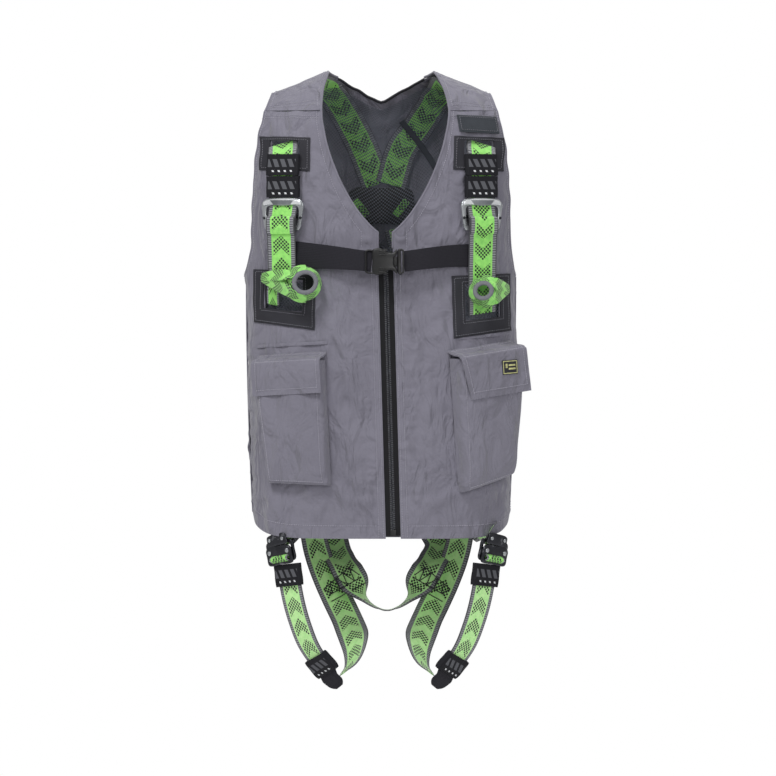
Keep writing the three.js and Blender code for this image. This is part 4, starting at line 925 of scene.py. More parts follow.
def yokeGrid(side, cols, rows):
    """Points of a yoke over the shoulder, from the front seam over the shoulder line to the back seam."""
    way, c = np.meshgrid(np.linspace(1, -1, rows + 1), np.linspace(0, 1, cols + 1), indexing="ij")
    x = mix(vest["neckHalf"], vest["shoulderHalf"], c)
    gap = vest["seamGap"]
    for _ in range(8):
        fall = np.where(way > 0, ridgeZ(x) - (vest["yokeSeamZ"] + gap), vest["backYokeDrop"] - gap)
        angle = np.abs(way) * np.arccos(1 - fall / vest["shoulderRound"])
        z = ridgeZ(x) - vest["shoulderRound"] * (1 - np.cos(angle))
        backInner = mix(vest["neckHalf"], vest["backNeckHalf"],
                        np.clip((vest["neckRise"] - z) / vest["backYokeDrop"], 0, 1))
        inner = np.where(way > 0, neckEdge(z) + side * vest["neckCentre"] * way, backInner)
        x = mix(inner, armEdge(z), c)
    return np.stack([side * x, np.where(way > 0, -1, 1) * depthAt(side * x, z), z], -1)


def gridNormals(points, centre=(0, 0, -0.3)):
    """Unit normals of a grid of points, away from a centre."""
    n = unit(np.cross(np.gradient(points, axis=0), np.gradient(points, axis=1)))
    turn = np.sign(((points - np.array(centre)) * n).sum(-1).mean())
    return n * turn


yokes = {}
for side in (right, left):
    hand = handOf[side]
    points = yokeGrid(side, 44, 60)
    normals = gridNormals(points)
    wavy = 0.0006 * waves(points[..., 0], points[..., 1] * 0.7, 21 + side, 10, 0.06, 0.02)
    ends = np.linspace(-1, 1, 61)[:, None]
    points = points + normals * (wavy * (1 - ends**6) + 0.0007 * near(np.abs(ends) - 1, 0.10))[..., None]
    yokes[side] = (points, normals)
    mesh = sheetMesh(f"yoke_{hand}", points, normals, shellLow, 0.0, gridLength(points))
    made = piece(f"yoke_{hand}", mesh, twillCloth, "vest", [f"shoulder_yoke_{hand}"])


def backGrid(cols, rows, drop=0.0):
    """x and z over the back, from the curved neckline and the yoke seams to the hem."""
    r, share = np.meshgrid(np.linspace(0, 1, rows + 1), np.linspace(-1, 1, cols + 1), indexing="ij")
    x = share * vest["shoulderHalf"]
    for _ in range(6):
        reach = np.hypot(np.minimum(np.abs(x) / vest["backNeckHalf"], 1), 0.12) - 0.12
        reach = reach / (math.hypot(1, 0.12) - 0.12)
        top = mix(vest["backNeckZ"], vest["neckRise"], reach) - vest["backYokeDrop"] * reach
        top = top - (vest["neckRise"] - ridgeZ(x))
        z = mix(top - drop, hemAt(share), r**1.2)
        outer = np.where(z > vest["armpitZ"], armEdge(z), halfWidthAt(z))
        limit = np.minimum(angleOf(outer, z), math.pi / 2 - 1e-3)
        x = np.sign(share) * widthAt(np.abs(share) * limit, z)
    return x, z


dorsalZ = -0.165
backX, backZ = backGrid(shell["backCols"], shell["backRows"], vest["seamGap"])
backPoints, backNormals = onVest(backX, backZ, back)
dorsalHole = insideWindow(cellMiddle(backPoints), 0.0, dorsalZ, 0.070, 0.036, back, 0.001)
mesh = sheetMesh("back", backPoints, backNormals, shellLow, 0.0, gridLength(backPoints), ~dorsalHole)
made = piece("back", mesh, twillCloth, "vest", ["back_panel"])
print("shell made")

# ---------- lining ----------
liningDepth, liningThick, liningDrop = -0.011, 0.0008, 0.012


def liningPoints(cols, rows):
    """The lining's band right round the body, from one side of the zip to the other."""
    r, turn = np.meshgrid(np.linspace(0, 1, rows + 1), np.linspace(-2, 2, cols + 1), indexing="ij")
    away = np.abs(turn)
    share = np.where(away > 1, 2 - away, away)
    z = mix(vest["armpitZ"] - liningDrop, hemAt(share) + 0.012, r)
    inner = np.where(away > 1, angleOf(vest["zipHalf"] + 0.014, z), 0)
    x = np.sign(turn) * widthAt(mix(inner, math.pi / 2 - 1e-4, share), z)
    return np.stack([x, np.where(away > 1, -1, 1) * depthAt(x, z), z], -1)


def declaredLining(name, points, replaced):
    """Lining cloth a little inside the surface's points, with small waves."""
    normals = outward(points)
    wavy = 0.0006 * waves(points[..., 0] + points[..., 1], points[..., 2], 31, 12, 0.09, 0.03)
    points = points + normals * (liningDepth + wavy)[..., None]
    mesh = sheetMesh(name, points, normals, -liningThick, 0.0, gridLength(points))
    made = piece(name, mesh, knitMesh, "vest", [replaced])


declaredLining("lining_body", liningPoints(160, 60), "mesh_lining_body")
x, z = backGrid(80, 90, 0.005)
rowsKept = z[:, 0] > vest["armpitZ"] + 0.008
upper = skin(x[rowsKept], z[rowsKept], back)
declaredLining("lining_back", upper, "mesh_lining_back")


line = np.linspace(0, 1, 30)
tape = skin(mix(0.029, 0.086, line), mix(-0.040, -0.122, line) + 0.004 * np.sin(line * 3), back)
tapeOut = outward(tape)
sweepPiece("lining_seam_tape", tape + tapeOut * (liningDepth - 0.0016), np.cross(alongOf(tape), tapeOut),
           flatProfile(0.0085, 0.0012, 8), liningTape, "vest", "mesh")


# ---------- edges: bindings, seams and topstitching ----------
binding = {"width": 0.0032, "thick": 0.0032, "armWidth": 0.0030}


def edgeBand(name, points, normals, width, thick, material, slot="twill"):
    """Folded binding over a raw edge: an oval section whose width lies in the cloth."""
    wide = np.cross(alongOf(points), normals)
    profile = roundProfile(width, thick, 12, 2.6)
    return sweepPiece(name, points - normals * 0.0009, wide, profile, material, "vest", slot)


def rowOn(points, normals, part):
    """Stitch row along part of a grid of points, just above it."""
    return points[part] + normals[part] * stitchLift, normals[part]


def rowOf(x, z, face, lift=stitchLift):
    """Stitch row through x and z on the draped cloth."""
    return onVest(np.asarray(x, float), np.asarray(z, float), face, lift)


for side in (right, left):
    hand = handOf[side]
    x, z, points, normals = fronts[side]
    yokePoints, yokeNormals = yokes[side]
    neckPart = z[:, 0] > vest["zipTop"] + 0.002
    neckLine = np.concatenate([yokePoints[::-1, 0], points[neckPart, 0]])
    neckNormal = np.concatenate([yokeNormals[::-1, 0], normals[neckPart, 0]])
    edgeBand(f"neck_binding_{hand}", neckLine, neckNormal, binding["width"], binding["thick"], bindingCloth)
    armPart = z[:, -1] > vest["armpitZ"] - 0.004
    backArm = backZ[:, 0 if side == right else -1] > vest["armpitZ"] - 0.004
    edge = 0 if side == right else -1
    armLine = np.concatenate([backPoints[backArm, edge][::-1], yokePoints[::-1, -1], points[armPart, -1]])
    armNormal = np.concatenate([backNormals[backArm, edge][::-1], yokeNormals[::-1, -1],
                                normals[armPart, -1]])
    edgeBand(f"arm_binding_{hand}", armLine, armNormal, binding["armWidth"], binding["thick"], bindingCloth)
    under = np.linspace(vest["armpitZ"] - 0.004, vest["hemZ"] + vest["hemRise"] + 0.001, 90)
    seamX = side * widthAt(np.full(90, math.pi / 2 - 2e-3), under)
    seamPoints = skin(seamX, under, front)
    seamNormals = np.broadcast_to([side, 0.0, 0.0], seamPoints.shape)
    sweepPiece(f"side_seam_{hand}", seamPoints + seamNormals * 0.0003, (0, 1, 0),
               roundProfile(0.009, 0.0022, 12, 3), twillCloth, "vest", "twill")
    # topstitching: zip, neck, armhole, hem and both sides of the yoke seams
    down = np.linspace(vest["zipTop"] - 0.002, vest["hemZ"] + 0.001, 120)
    for away in (0.003, 0.0095):
        vestRows.append(rowOf(zipX(down) + side * (vest["zipHalf"] + away), down, front))
    c = int(shell["cols"] * 0.07)
    vestRows.append(rowOn(points, normals, np.s_[neckPart, c]))
    c = -1 - int(shell["cols"] * 0.05)
    vestRows.append(rowOn(points, normals, np.s_[armPart, c]))
    for c in (3, -4):
        vestRows.append(rowOn(yokePoints, yokeNormals, np.s_[2:-2, c]))
    for drop in (0.004, 0.009):
        row = int(drop / 0.6 * shell["rows"]) + 1
        vestRows.append(rowOn(points, normals, np.s_[row, 4:-4]))
    for r in (3, 5, -4):
        vestRows.append(rowOn(yokePoints, yokeNormals, np.s_[r, 3:-3]))
    share = np.linspace(0.02, 0.99, 120)
    hemZ = hemAt(share) + vest["hemFold"]
    a = angleOf(vest["zipHalf"] + 0.004, hemZ)
    hemX = widthAt(mix(a, math.pi / 2 - 2e-3, share), hemZ)
    vestRows.append(rowOf(side * hemX + zipX(hemZ) * (1 - share), hemZ, front))
    backHem = widthAt(share * (math.pi / 2 - 2e-3), hemZ)
    vestRows.append(rowOf(side * backHem, hemZ, back))
for r in (3, 6):
    vestRows.append(rowOn(backPoints, backNormals, np.s_[r, 5:-5]))
for c in (6, -7):
    arm = backZ[:, c] > vest["armpitZ"] - 0.02
    vestRows.append(rowOn(backPoints, backNormals, np.s_[arm, c]))
neckCols = np.abs(backX[0]) < vest["backNeckHalf"] + 0.001
edgeBand("back_neck_binding", backPoints[0, neckCols], backNormals[0, neckCols], 0.0042, binding["thick"],
         patchCloth,
         "patch")
print("edges made")


# ---------- patches ----------
patch = {"thick": 0.0013, "lift": 0.0009, "inset": 0.0035}


def patchMesh(name, corners, hole, face, low, high, steps=46):
    """Cloth between four corners in x and z, bilinear; hole (s0, s1, t0, t1) is its window."""
    def breaks(a, b):
        """Steps from 0 to 1 with two of them exactly at a and b."""
        parts = np.diff([0, a, b, 1]) * steps
        counts = np.maximum(2, parts.round().astype(int))
        return np.concatenate([np.linspace(0, a, counts[0], endpoint=False),
                               np.linspace(a, b, counts[1], endpoint=False),
                               np.linspace(b, 1, counts[2] + 1)])
    s, t = (np.linspace(0, 1, steps), np.linspace(0, 1, steps)) if hole is None else (breaks(*hole[:2]),
                                                                                      breaks(*hole[2:]))
    t, s = np.meshgrid(t, s, indexing="ij")
    (ax, az), (bx, bz), (cx, cz), (dx, dz) = corners
    x = mix(mix(ax, bx, s), mix(cx, dx, s), t)
    z = mix(mix(az, bz, s), mix(cz, dz, s), t)
    points, normals = onVest(x, z, face)
    keep = None
    if hole is not None:
        ms, mt = (s[:-1, :-1] + s[1:, 1:]) / 2, (t[:-1, :-1] + t[1:, 1:]) / 2
        keep = ~((ms > hole[0]) & (ms < hole[1]) & (mt > hole[2]) & (mt < hole[3]))
    rim = np.minimum(np.minimum(s, 1 - s), np.minimum(t, 1 - t))
    top = high - 0.0006 * near(rim, 0.012)
    return sheetMesh(name, points, normals, low, top, gridLength(points), keep)


def rectRows(corners, inset, face, lift, hole=None):
    """Stitch rows round a patch and round its window, a little in from the edges."""
    (ax, az), (bx, bz), (cx, cz), (dx, dz) = corners
    def at(s, t):
        """Row through s and t, the shares of the way over and down the patch."""
        x = mix(mix(ax, bx, s), mix(cx, dx, s), t)
        z = mix(mix(az, bz, s), mix(cz, dz, s), t)
        return rowOf(x, z, face, lift)
    width, height = np.hypot(bx - ax, bz - az), np.hypot(cx - ax, cz - az)
    i, j = inset / width, inset / height
    ring = [(i, 1 - i, j, 1 - j)]
    if hole is not None:
        ring.append((hole[0] - i, hole[1] + i, hole[2] - j, hole[3] + j))
    rows = []
    for s0, s1, t0, t1 in ring:
        line, one = np.linspace(0, 1, 30), np.ones(30)
        rows += [at(mix(s0, s1, line), t0 * one), at(mix(s0, s1, line), t1 * one),
                 at(s0 * one, mix(t0, t1, line)), at(s1 * one, mix(t0, t1, line))]
    return rows


darkRows = []
for side in (right, left):
    hand = handOf[side]
    x, z = strapPlace(side), upperWindow["z"]
    corners = [(x - 0.035, z + 0.016), (x + 0.035, z + 0.014), (x - 0.036, z - 0.031), (x + 0.034, z - 0.033)]
    slope = frameAt(x, z, front)[0, 0]
    half = upperWindow["width"] / 2 * slope
    hole = (0.5 - half / 0.070, 0.5 + half / 0.070, 0.005 / 0.047, 0.025 / 0.047)
    mesh = patchMesh(f"upper_patch_cloth_{hand}", corners, hole, front, patch["lift"],
                     patch["lift"] + patch["thick"])
    piece(f"upper_patch_cloth_{hand}", mesh, patchCloth, "vest", [f"upper_patch_{hand}"])
    darkRows += rectRows(corners, patch["inset"], front, patch["lift"] + patch["thick"], None)
    low = lowerWindow[side]
    slope = abs(frameAt(low["x"], low["z"], front)[0, 0])
    inner = low["x"] - side * (low["width"] / 2 + 0.014)
    outer = side * low["edge"]
    top, foot = low["z"] + low["height"] / 2, low["z"] - low["height"] / 2
    corners = [(inner, top + 0.010), (outer, top + 0.014), (inner + side * 0.002, foot - 0.028),
               (outer, foot - 0.016)]
    halfWindow = low["width"] / 2 * slope
    s0 = abs(low["x"] - side * halfWindow - inner) / abs(outer - inner)
    s1 = abs(low["x"] + side * halfWindow - inner) / abs(outer - inner)
    height = low["height"] + 0.034
    hole = (s0, min(s1, 0.9), 0.012 / height, (0.012 + low["height"]) / height)
    mesh = patchMesh(f"lower_patch_cloth_{hand}", corners, hole, front, patch["lift"],
                     patch["lift"] + patch["thick"])
    piece(f"lower_patch_cloth_{hand}", mesh, patchCloth, "vest", [f"lower_patch_{hand}"])
    darkRows += rectRows(corners, patch["inset"], front, patch["lift"] + patch["thick"], hole)

corners = [(-0.052, dorsalZ + 0.034), (0.052, dorsalZ + 0.034), (-0.052, dorsalZ - 0.034),
           (0.052, dorsalZ - 0.034)]
hole = (0.5 - 0.034 / 0.104, 0.5 + 0.034 / 0.104, 0.5 - 0.018 / 0.068, 0.5 + 0.018 / 0.068)
mesh = patchMesh("dorsal_patch_cloth", corners, hole, back, 0.0002, 0.0018)
piece("dorsal_patch_cloth", mesh, patchCloth, "vest")
darkRows += rectRows(corners, patch["inset"], back, 0.0018, hole)

namePanel = {"x": 0.135, "z": -0.054, "width": 0.064, "height": 0.026, "thick": 0.0024, "roll": -0.045}
nameFrame = frameAt(namePanel["x"], namePanel["z"], front, 0.0021, namePanel["roll"])
a, b = namePanel["width"] / 2, namePanel["height"] / 2
t, s = np.meshgrid(np.linspace(-1, 1, 30), np.linspace(-1, 1, 60), indexing="ij")
flat = np.stack([s * a, t * b, np.zeros_like(s)], -1)
rim = np.minimum(a * (1 - np.abs(s)), b * (1 - np.abs(t)))
rise = namePanel["thick"] - 0.0012 * near(rim, 0.0018) + 0.0002 * waves(s * a, t * b, 77, 20, 0.004, 0.002)
upOut = np.broadcast_to(nameFrame[:3, 2], flat.shape)
mesh = sheetMesh("name_panel_loop", placed(nameFrame, flat), upOut, 0.0, rise, flat[..., :2].copy())
piece("name_panel_loop", mesh, hookCloth, "vest", ["name_panel"])
for edge in (((-1, 1), (1, 1)), ((-1, -1), (1, -1)), ((-1, -1), (-1, 1)), ((1, -1), (1, 1))):
    line = np.linspace(0, 1, 20)[:, None]
    path = mix(np.array(edge[0]) * [a - 0.003, b - 0.003], np.array(edge[1]) * [a - 0.003, b - 0.003], line)
    path = np.concatenate([path, np.full((20, 1), namePanel["thick"])], 1)
    darkRows.append((placed(nameFrame, path), np.broadcast_to(nameFrame[:3, 2], (20, 3))))
print("patches made")


# ---------- shoulder and front webbing ----------
strapOff = 0.007  # middle of the webbing above the shell
adjusterTop = -0.157


def surfacePath(points, face, steps=10):
    """Middle line of webbing through x, z and offset on the plain surface, with its width direction."""
    curve = smoothPath(points, steps)
    path, wide = [], []
    for x, z, offset in curve:
        m = frameAt(x, z, face, offset)
        path.append(m[:3, 3])
        wide.append(m[:3, 0])
    return np.array(path), np.array(wide)


def plumb(x, z, offset):
    """Place on the surface whose offset point keeps the same x as the strap lying at its usual height."""
    return x - (offset - strapOff) * frameAt(x, z, front)[0, 2], z, offset


def bandPiece(name, path, wide, body, replaced, width=None, flip=1.0, start=0.0, material=None,
              thick=None, scale=None, ride=True, middle=None):
    """Webbing along a path, at its usual width and thickness unless told otherwise."""
    profile = flatProfile(width or webbing["width"], thick or webbing["thick"], 12)
    mesh = sweepMesh(name, path, wide, profile, scale=scale, flip=flip, start=start, middle=middle)
    return piece(name, mesh, material or harnessWebbing, body, replaced, ride)


for side in (right, left):
    hand, x, lean = handOf[side], strapPlace(side), side * 0.002
    flip = -1.0 if side == right else 1.0
    top = upperWindow["z"] + upperWindow["height"] / 2 - 0.003
    path, wide = surfacePath([
        plumb(x, top, webInside + 0.0015), plumb(x, top - 0.008, 0.001), (x, top - 0.018, strapOff),
        (x, adjusterTop + 0.030, strapOff), (x, adjusterTop - 0.006, strapOff - 0.0008)], front)
    bandPiece(f"shoulder_webbing_{hand}", path, wide, "vest", [f"shoulder_strap_{hand}"], start=0.006)
    low = lowerWindow[side]
    path, wide = surfacePath([
        (x, adjusterTop - 0.009, strapOff - 0.0004), (x, adjusterTop - 0.018, strapOff + 0.002),
        (x, adjusterTop - 0.026, strapOff + 0.0045), (x, adjusterTop - 0.045, strapOff + 0.006),
        (x + lean, adjusterTop - 0.075, strapOff), (x + lean, low["z"] + low["height"] / 2 + 0.006,
                                                    strapOff - 0.001),
        plumb(x + lean, low["z"] - 0.002, -0.001),
        plumb(x + lean, low["z"] - low["height"] / 2 + 0.008, webInside)], front)
    # on the right the strap gathers to its outer edge where it twists into the loop
    gather = np.clip((low["z"] + 0.030 - path[:, 2]) / 0.024, 0, 1) * (side == right)
    path = path + wide * (side * 0.014 * gather)[:, None]
    scale = np.stack([1 - 0.55 * gather, 1 + 0 * gather], -1)
    bandPiece(f"front_strap_{hand}", path, wide, "vest", [f"front_webbing_{hand}"], flip=flip, scale=scale)
    # the free end folded back over the slide bar
    fold, foldWide = surfacePath([
        (x, adjusterTop - 0.0262, strapOff + 0.0066), (x, adjusterTop - 0.0275, strapOff + 0.0088),
        (x, adjusterTop - 0.033, strapOff + 0.0098), (x, adjusterTop - 0.043, strapOff + 0.0094),
        (x, adjusterTop - 0.0495, strapOff + 0.0080)], front)
    bandPiece(f"strap_fold_{hand}", fold, foldWide, "vest", (), flip=flip, start=0.011, thick=0.0026)


# ---------- adjusters ----------
adjuster = {"width": 0.065, "height": 0.045, "leg": 0.0075, "topBar": 0.0105, "foot": 0.006}


def adjusterOutline():
    """Half outlines mirrored: an arched top bar, legs that taper and a rounded foot."""
    w, h = adjuster["width"] / 2, adjuster["height"]
    side = smoothPath([(0, 0.0014), (w * 0.5, 0.0004), (w * 0.86, -0.0022), (w, -0.0085),
                       (w - 0.0012, -0.020),
                       (w - 0.0045, -h + 0.004), (w - 0.0075, -h)], 8)
    outer = np.concatenate([side, (side * [-1, 1])[::-1][:-1]])
    inner = w - adjuster["leg"]
    hole = smoothPath([(0, -adjuster["topBar"]), (inner - 0.004, -adjuster["topBar"]),
                       (inner, -adjuster["topBar"] - 0.004),
                       (inner - 0.0022, -h + adjuster["foot"] + 0.003),
                       (inner - 0.005, -h + adjuster["foot"]),
                       (0, -h + adjuster["foot"])], 5)
    hole = np.concatenate([hole, (hole * [-1, 1])[::-1][1:-1]])
    return [outer, hole]


for side in (right, left):
    hand, x = handOf[side], strapPlace(side)
    m = frameAt(x, adjusterTop, front, strapOff - webbing["thick"] / 2 - 0.0004)
    platePiece(f"adjuster_frame_{hand}", adjusterOutline(), 0.0042, 0.0013, m @ shifted(z=0.0024), whiteAlloy,
               "vest", [f"adjuster_{hand}"])
    reach = adjuster["width"] / 2
    # top bar: a plate in the paler copy of the alloy, whose brighter colour is a painted highlight
    crown = smoothPath([(-reach + 0.0035, -0.0105), (-reach + 0.0030, -0.0062), (-reach * 0.80, -0.0034),
                        (-reach * 0.5, -0.0012),
                        (0, -0.0004), (reach * 0.5, -0.0012), (reach * 0.80, -0.0034),
                        (reach - 0.0030, -0.0062),
                        (reach - 0.0035, -0.0105)], 5)
    foot = smoothPath([(reach - 0.0065, -0.0092), (reach * 0.62, -0.0088), (0, -0.0088),
                       (-reach * 0.62, -0.0088),
                       (-reach + 0.0065, -0.0092)], 4)
    platePiece(f"adjuster_crown_{hand}", [np.concatenate([crown, foot])], 0.0030, 0.0011,
               m @ shifted(z=0.0046), paintedHighlightAlloy, "vest")
    # facet: a thin plate in the darker copy of the alloy, painted shade
    facet = np.array([(-0.013, -0.0092), (0.013, -0.0092), (0.0185, -0.0026), (-0.0185, -0.0026)])
    platePiece(f"adjuster_facet_{hand}", [facet], 0.0012, 0.0005, m @ shifted(z=0.0061), paintedShadeFacetAlloy, "vest")
    for end in (-1, 1):
        rivet = disc(0.0021, end * 0.0285, -0.0275)
        platePiece(f"adjuster_rivet_{hand}_{'a' if end < 0 else 'b'}", [rivet], 0.0015, 0.0006,
                   m @ shifted(z=0.0047), darkSteel, "vest")


# ---------- keepers ----------
keeper = {"width": 0.051, "height": 0.0298, "thick": 0.0084, "wall": 0.0011}


def sleeveMesh(name, matrix, width, height, thick, wall, pinch=0.0):
    """Elastic sleeve: a squared oval ring carried up its height, drawn in a little at both ends."""
    a = np.linspace(0, math.tau, 72, endpoint=False) + math.pi / 2
    t = np.linspace(-1, 1, 15)
    c, s = np.cos(a), np.sin(a)
    u = np.sign(c) * np.abs(c) ** 0.22 * (width / 2 - wall / 2)
    w = np.sign(s) * np.abs(s) ** 0.42 * (thick / 2 - wall / 2)
    squeeze = 1 - pinch * t[:, None] ** 6
    ribs = 0.00022 * np.sin(t[:, None] * 40) * np.ones_like(u)
    points = np.stack([u * np.ones((15, 1)), np.broadcast_to(t[:, None] * height / 2, (15, 72)), w * squeeze],
                      -1)
    normals = np.stack([np.sign(c) * np.abs(c) ** 3.5, np.zeros(72), np.sign(s) * np.abs(s) ** 1.6 + 1e-6],
                       -1)
    normals = np.broadcast_to(unit(normals), points.shape)
    around = np.concatenate([u, u[:1]])
    uv = np.stack(np.broadcast_arrays(around[None], t[:, None] * height / 2), -1)
    return sheetMesh(name, placed(matrix, points), normals @ matrix[:3, :3].T, -wall / 2, wall / 2 + ribs, uv,
                     wrap=True)


for side in (right, left):
    hand, x = handOf[side], strapPlace(side)
    for name, z in (("upper", adjusterTop + 0.0012 + keeper["height"] * 1.5),
                    ("lower", adjusterTop + 0.0012 + keeper["height"] * 0.5)):
        m = frameAt(x, z, front, strapOff + 0.0001)
        mesh = sleeveMesh(f"keeper_band_{name}_{hand}", m, keeper["width"], keeper["height"], keeper["thick"],
                          keeper["wall"], 0.03)
        piece(f"keeper_band_{name}_{hand}", mesh, keeperElastic, "vest",
              [f"keeper_{name}_{hand}"])
print("shoulders made")


# ---------- zip ----------
zipMiddle = np.array([zipX(vest["zipTop"]), -depthAt(zipX(vest["zipTop"]), vest["zipTop"]) + 0.00045,
                      vest["zipTop"]])
zipFrame = np.eye(4)
zipFrame[:3, :3] = np.array(Matrix.Rotation(-math.atan(vest["zipLean"]), 3, "Y"))
zipFrame[:3, 3] = zipMiddle
zipLength = -vest["hemZ"] + vest["zipTop"] - 0.004
tooth = {"pitch": 0.0030, "reach": 0.0030, "height": 0.0019, "thick": 0.0024}


def teethMesh(name, side):
    """One row of moulded teeth: the same small bevelled block at every pitch down the zip."""
    count = int((zipLength - 0.004) / tooth["pitch"])
    down = -(np.arange(count) + (0.3 if side == right else 0.8)) * tooth["pitch"] - 0.001
    a = np.array([-0.5, -0.35, 0.35, 0.5])
    ring = np.array([[-0.5, -0.3], [-0.3, -0.5], [0.3, -0.5], [0.5, -0.3], [0.5, 0.3], [0.3, 0.5],
                     [-0.3, 0.5], [-0.5, 0.3]])
    swell = np.array([0.7, 1, 1, 0.7])
    x = (a[:, None] + 0.5) * tooth["reach"] + 0.00045
    y = ring[None, :, 0] * swell[:, None] * tooth["thick"]
    z = ring[None, :, 1] * swell[:, None] * tooth["height"]
    shape = np.stack([side * (x + 0 * y), y, z], -1).reshape(-1, 3)
    points = shape[None] + np.stack([0 * down, 0 * down, down], -1)[:, None]
    quads = [[r * 8 + c, r * 8 + (c + 1) % 8, (r + 1) * 8 + (c + 1) % 8,
              (r + 1) * 8 + c] for r in range(3) for c in range(8)]
    ends = [list(range(7, -1, -1)), list(range(24, 32))]
    lift = 32 * np.arange(count)[:, None, None]
    return buildMesh(name, placed(zipFrame, points), [(np.array(quads)[None] + lift).reshape(-1, 4),
                                                     (np.array(ends)[None] + lift).reshape(-1, 8)])


for side in (right, left):
    hand = handOf[side]
    down = np.linspace(0, -zipLength, 80)
    middle = side * (vest["zipHalf"] + 0.0004) / 2
    path = placed(zipFrame, np.stack([np.full(80, middle), np.zeros(80), down], -1))
    sweepPiece(f"zip_cloth_{hand}", path, (1, 0, 0), flatProfile(vest["zipHalf"] - 0.0009, 0.0009, 8),
               zipCloth, "vest", "dark_webbing", [f"zip_tape_{hand}"])
    piece(f"zip_teeth_{hand}", teethMesh(f"zip_teeth_{hand}", side), zipTeeth, "vest")
box = np.array([(-0.0042, -0.0045), (0.0042, -0.0045), (0.0042, 0.0045), (-0.0042, 0.0045)])
facing = np.array([[1, 0, 0, 0], [0, 0, -1, 0], [0, 1, 0, 0], [0, 0, 0, 1.0]])  # Z out of the front
platePiece("zip_box", [box], 0.0038, 0.0007,
           zipFrame @ shifted(z=-zipLength + 0.004) @ facing @ shifted(z=0.0006), mouldedPlastic, "vest")


# ---------- chest strap and buckle ----------
buckle = {"x": float(zipX(vest["zipTop"])) - 0.001, "z": -0.246, "width": 0.034, "height": 0.036,
          "thick": 0.013,
          "standoff": 0.017, "flange": 0.008}
chestY = zipMiddle[1] - 0.00045 - buckle["standoff"]
chestStrap = {"z": -0.237, "wide": 0.040, "narrow": 0.030, "thick": 0.0014}


def chestPath(side):
    """Centre line of a strap half from under the shoulder webbing to the buckle."""
    outerX = strapPlace(side) - side * (webbing["width"] / 2 - 0.008)
    reach = buckle["width"] / 2 + (0.0008 if side == right else buckle["flange"] + 0.0014)
    end = np.array([buckle["x"] + side * reach, chestY - buckle["thick"] / 2, buckle["z"]])
    under = skin(outerX, chestStrap["z"], front) + np.array([0, -0.0034, 0])
    bendX = outerX - side * 0.024
    bend = np.array([bendX, skin(bendX, chestStrap["z"], front)[1] - 0.009, chestStrap["z"] - 0.001])
    mid = np.array([mix(bend[0], end[0], 0.5), mix(bend[1], end[1], 0.7),
                    mix(chestStrap["z"], buckle["z"], 0.5)])
    return smoothPath([under, bend, mid, end], 14)


for side in (right, left):
    hand, path = handOf[side], chestPath(side)
    share = np.linspace(0, 1, len(path))
    wide = chestStrap["wide"] if side == right else chestStrap["narrow"] + 0.002
    width = mix(wide, chestStrap["narrow"] - 0.001, np.minimum(1, share * 1.2)) / chestStrap["wide"]
    scale = np.stack([width, np.ones_like(width)], -1)
    made = bandPiece(f"chest_webbing_{hand}", path, (0, 0, 1), "vest", [f"chest_strap_{hand}"],
                     chestStrap["wide"],
                     material=darkWebbing, thick=chestStrap["thick"], scale=scale,
                     ride=side == right)
    if side == left:
        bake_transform(made)

buckleFrame = np.eye(4)
buckleFrame[:3, :3] = [[1, 0, 0], [0, 0, -1], [0, 1, 0]]  # local Z out of the front, Y up
buckleFrame[:3, 3] = (buckle["x"], chestY - buckle["thick"] / 2, buckle["z"])
w, h = buckle["width"] / 2, buckle["height"] / 2
shellOutline = smoothPath([(-w, 0), (-w, h - 0.004), (-w + 0.0035, h), (-0.004, h), (w * 0.30, h - 0.0055),
                           (w * 0.72, h - 0.0050), (w, h - 0.0008), (w, h * 0.55), (w - 0.0035, h * 0.3),
                           (w - 0.0035, 0)], 7)
shellOutline = np.concatenate([shellOutline, (shellOutline * [1, -1])[::-1][1:-1]])
for name, offset, depth, bevel in (("front", 0.0058, 0.0056, 0.0026), ("rear", -0.0048, 0.0034, 0.0013)):
    platePiece(f"buckle_shell_{name}", [shellOutline], depth, bevel, buckleFrame @ shifted(z=offset),
               mouldedPlastic, "vest", ["buckle_body"] if name == "front" else ())
for way in (-1, 1):
    wall = np.array([(-w + 0.001, h - 0.004), (w * 0.2, h - 0.0045), (w * 0.2, h - 0.0005),
                     (-w + 0.001, h - 0.0005)]) * [1, way]
    if way < 0:
        wall = wall[::-1]
    platePiece(f"buckle_wall_{'low' if way < 0 else 'high'}", [wall], 0.0075, 0.0008, buckleFrame,
               mouldedPlastic, "vest")
bridge = np.array([(-w + 0.0005, -h + 0.006), (-w + 0.0045, -h + 0.006), (-w + 0.0045, h - 0.006),
                   (-w + 0.0005, h - 0.006)])
platePiece("buckle_root", [bridge], 0.0075, 0.0008, buckleFrame, mouldedPlastic, "vest")
loopLine = smoothPath([(-w + 0.0010, 0.0152), (-w - 0.0072, 0.0155), (-w - 0.0090, 0.0138), (-w - 0.0090, 0),
                       (-w - 0.0090, -0.0138), (-w - 0.0072, -0.0155), (-w + 0.0010, -0.0152),
                       (-w + 0.0014, 0),
                       (-w + 0.0010, 0.0152)], 6)[:-1]
loopLine = placed(buckleFrame, np.column_stack([loopLine, np.zeros(len(loopLine))]))
sweepPiece("buckle_loop", loopLine, buckleFrame[:3, 2], roundProfile(0.0060, 0.0026, 12, 2.5), mouldedPlastic,
           "vest", "plastic", closed=True)
for number in range(3):
    for way in (-1, 1):
        ridge = np.array([(-0.0075, 0.0008), (0.0015, 0.0008), (0.0015, -0.0008), (-0.0075, -0.0008)])
        ridge = ridge + [0.0, way * (h - 0.0035 - number * 0.0026)]
        name = f"buckle_grip_{'low' if way < 0 else 'high'}_{number}"
        platePiece(name, [ridge], 0.0022, 0.0006, buckleFrame @ shifted(z=0.0086), mouldedPlastic, "vest")
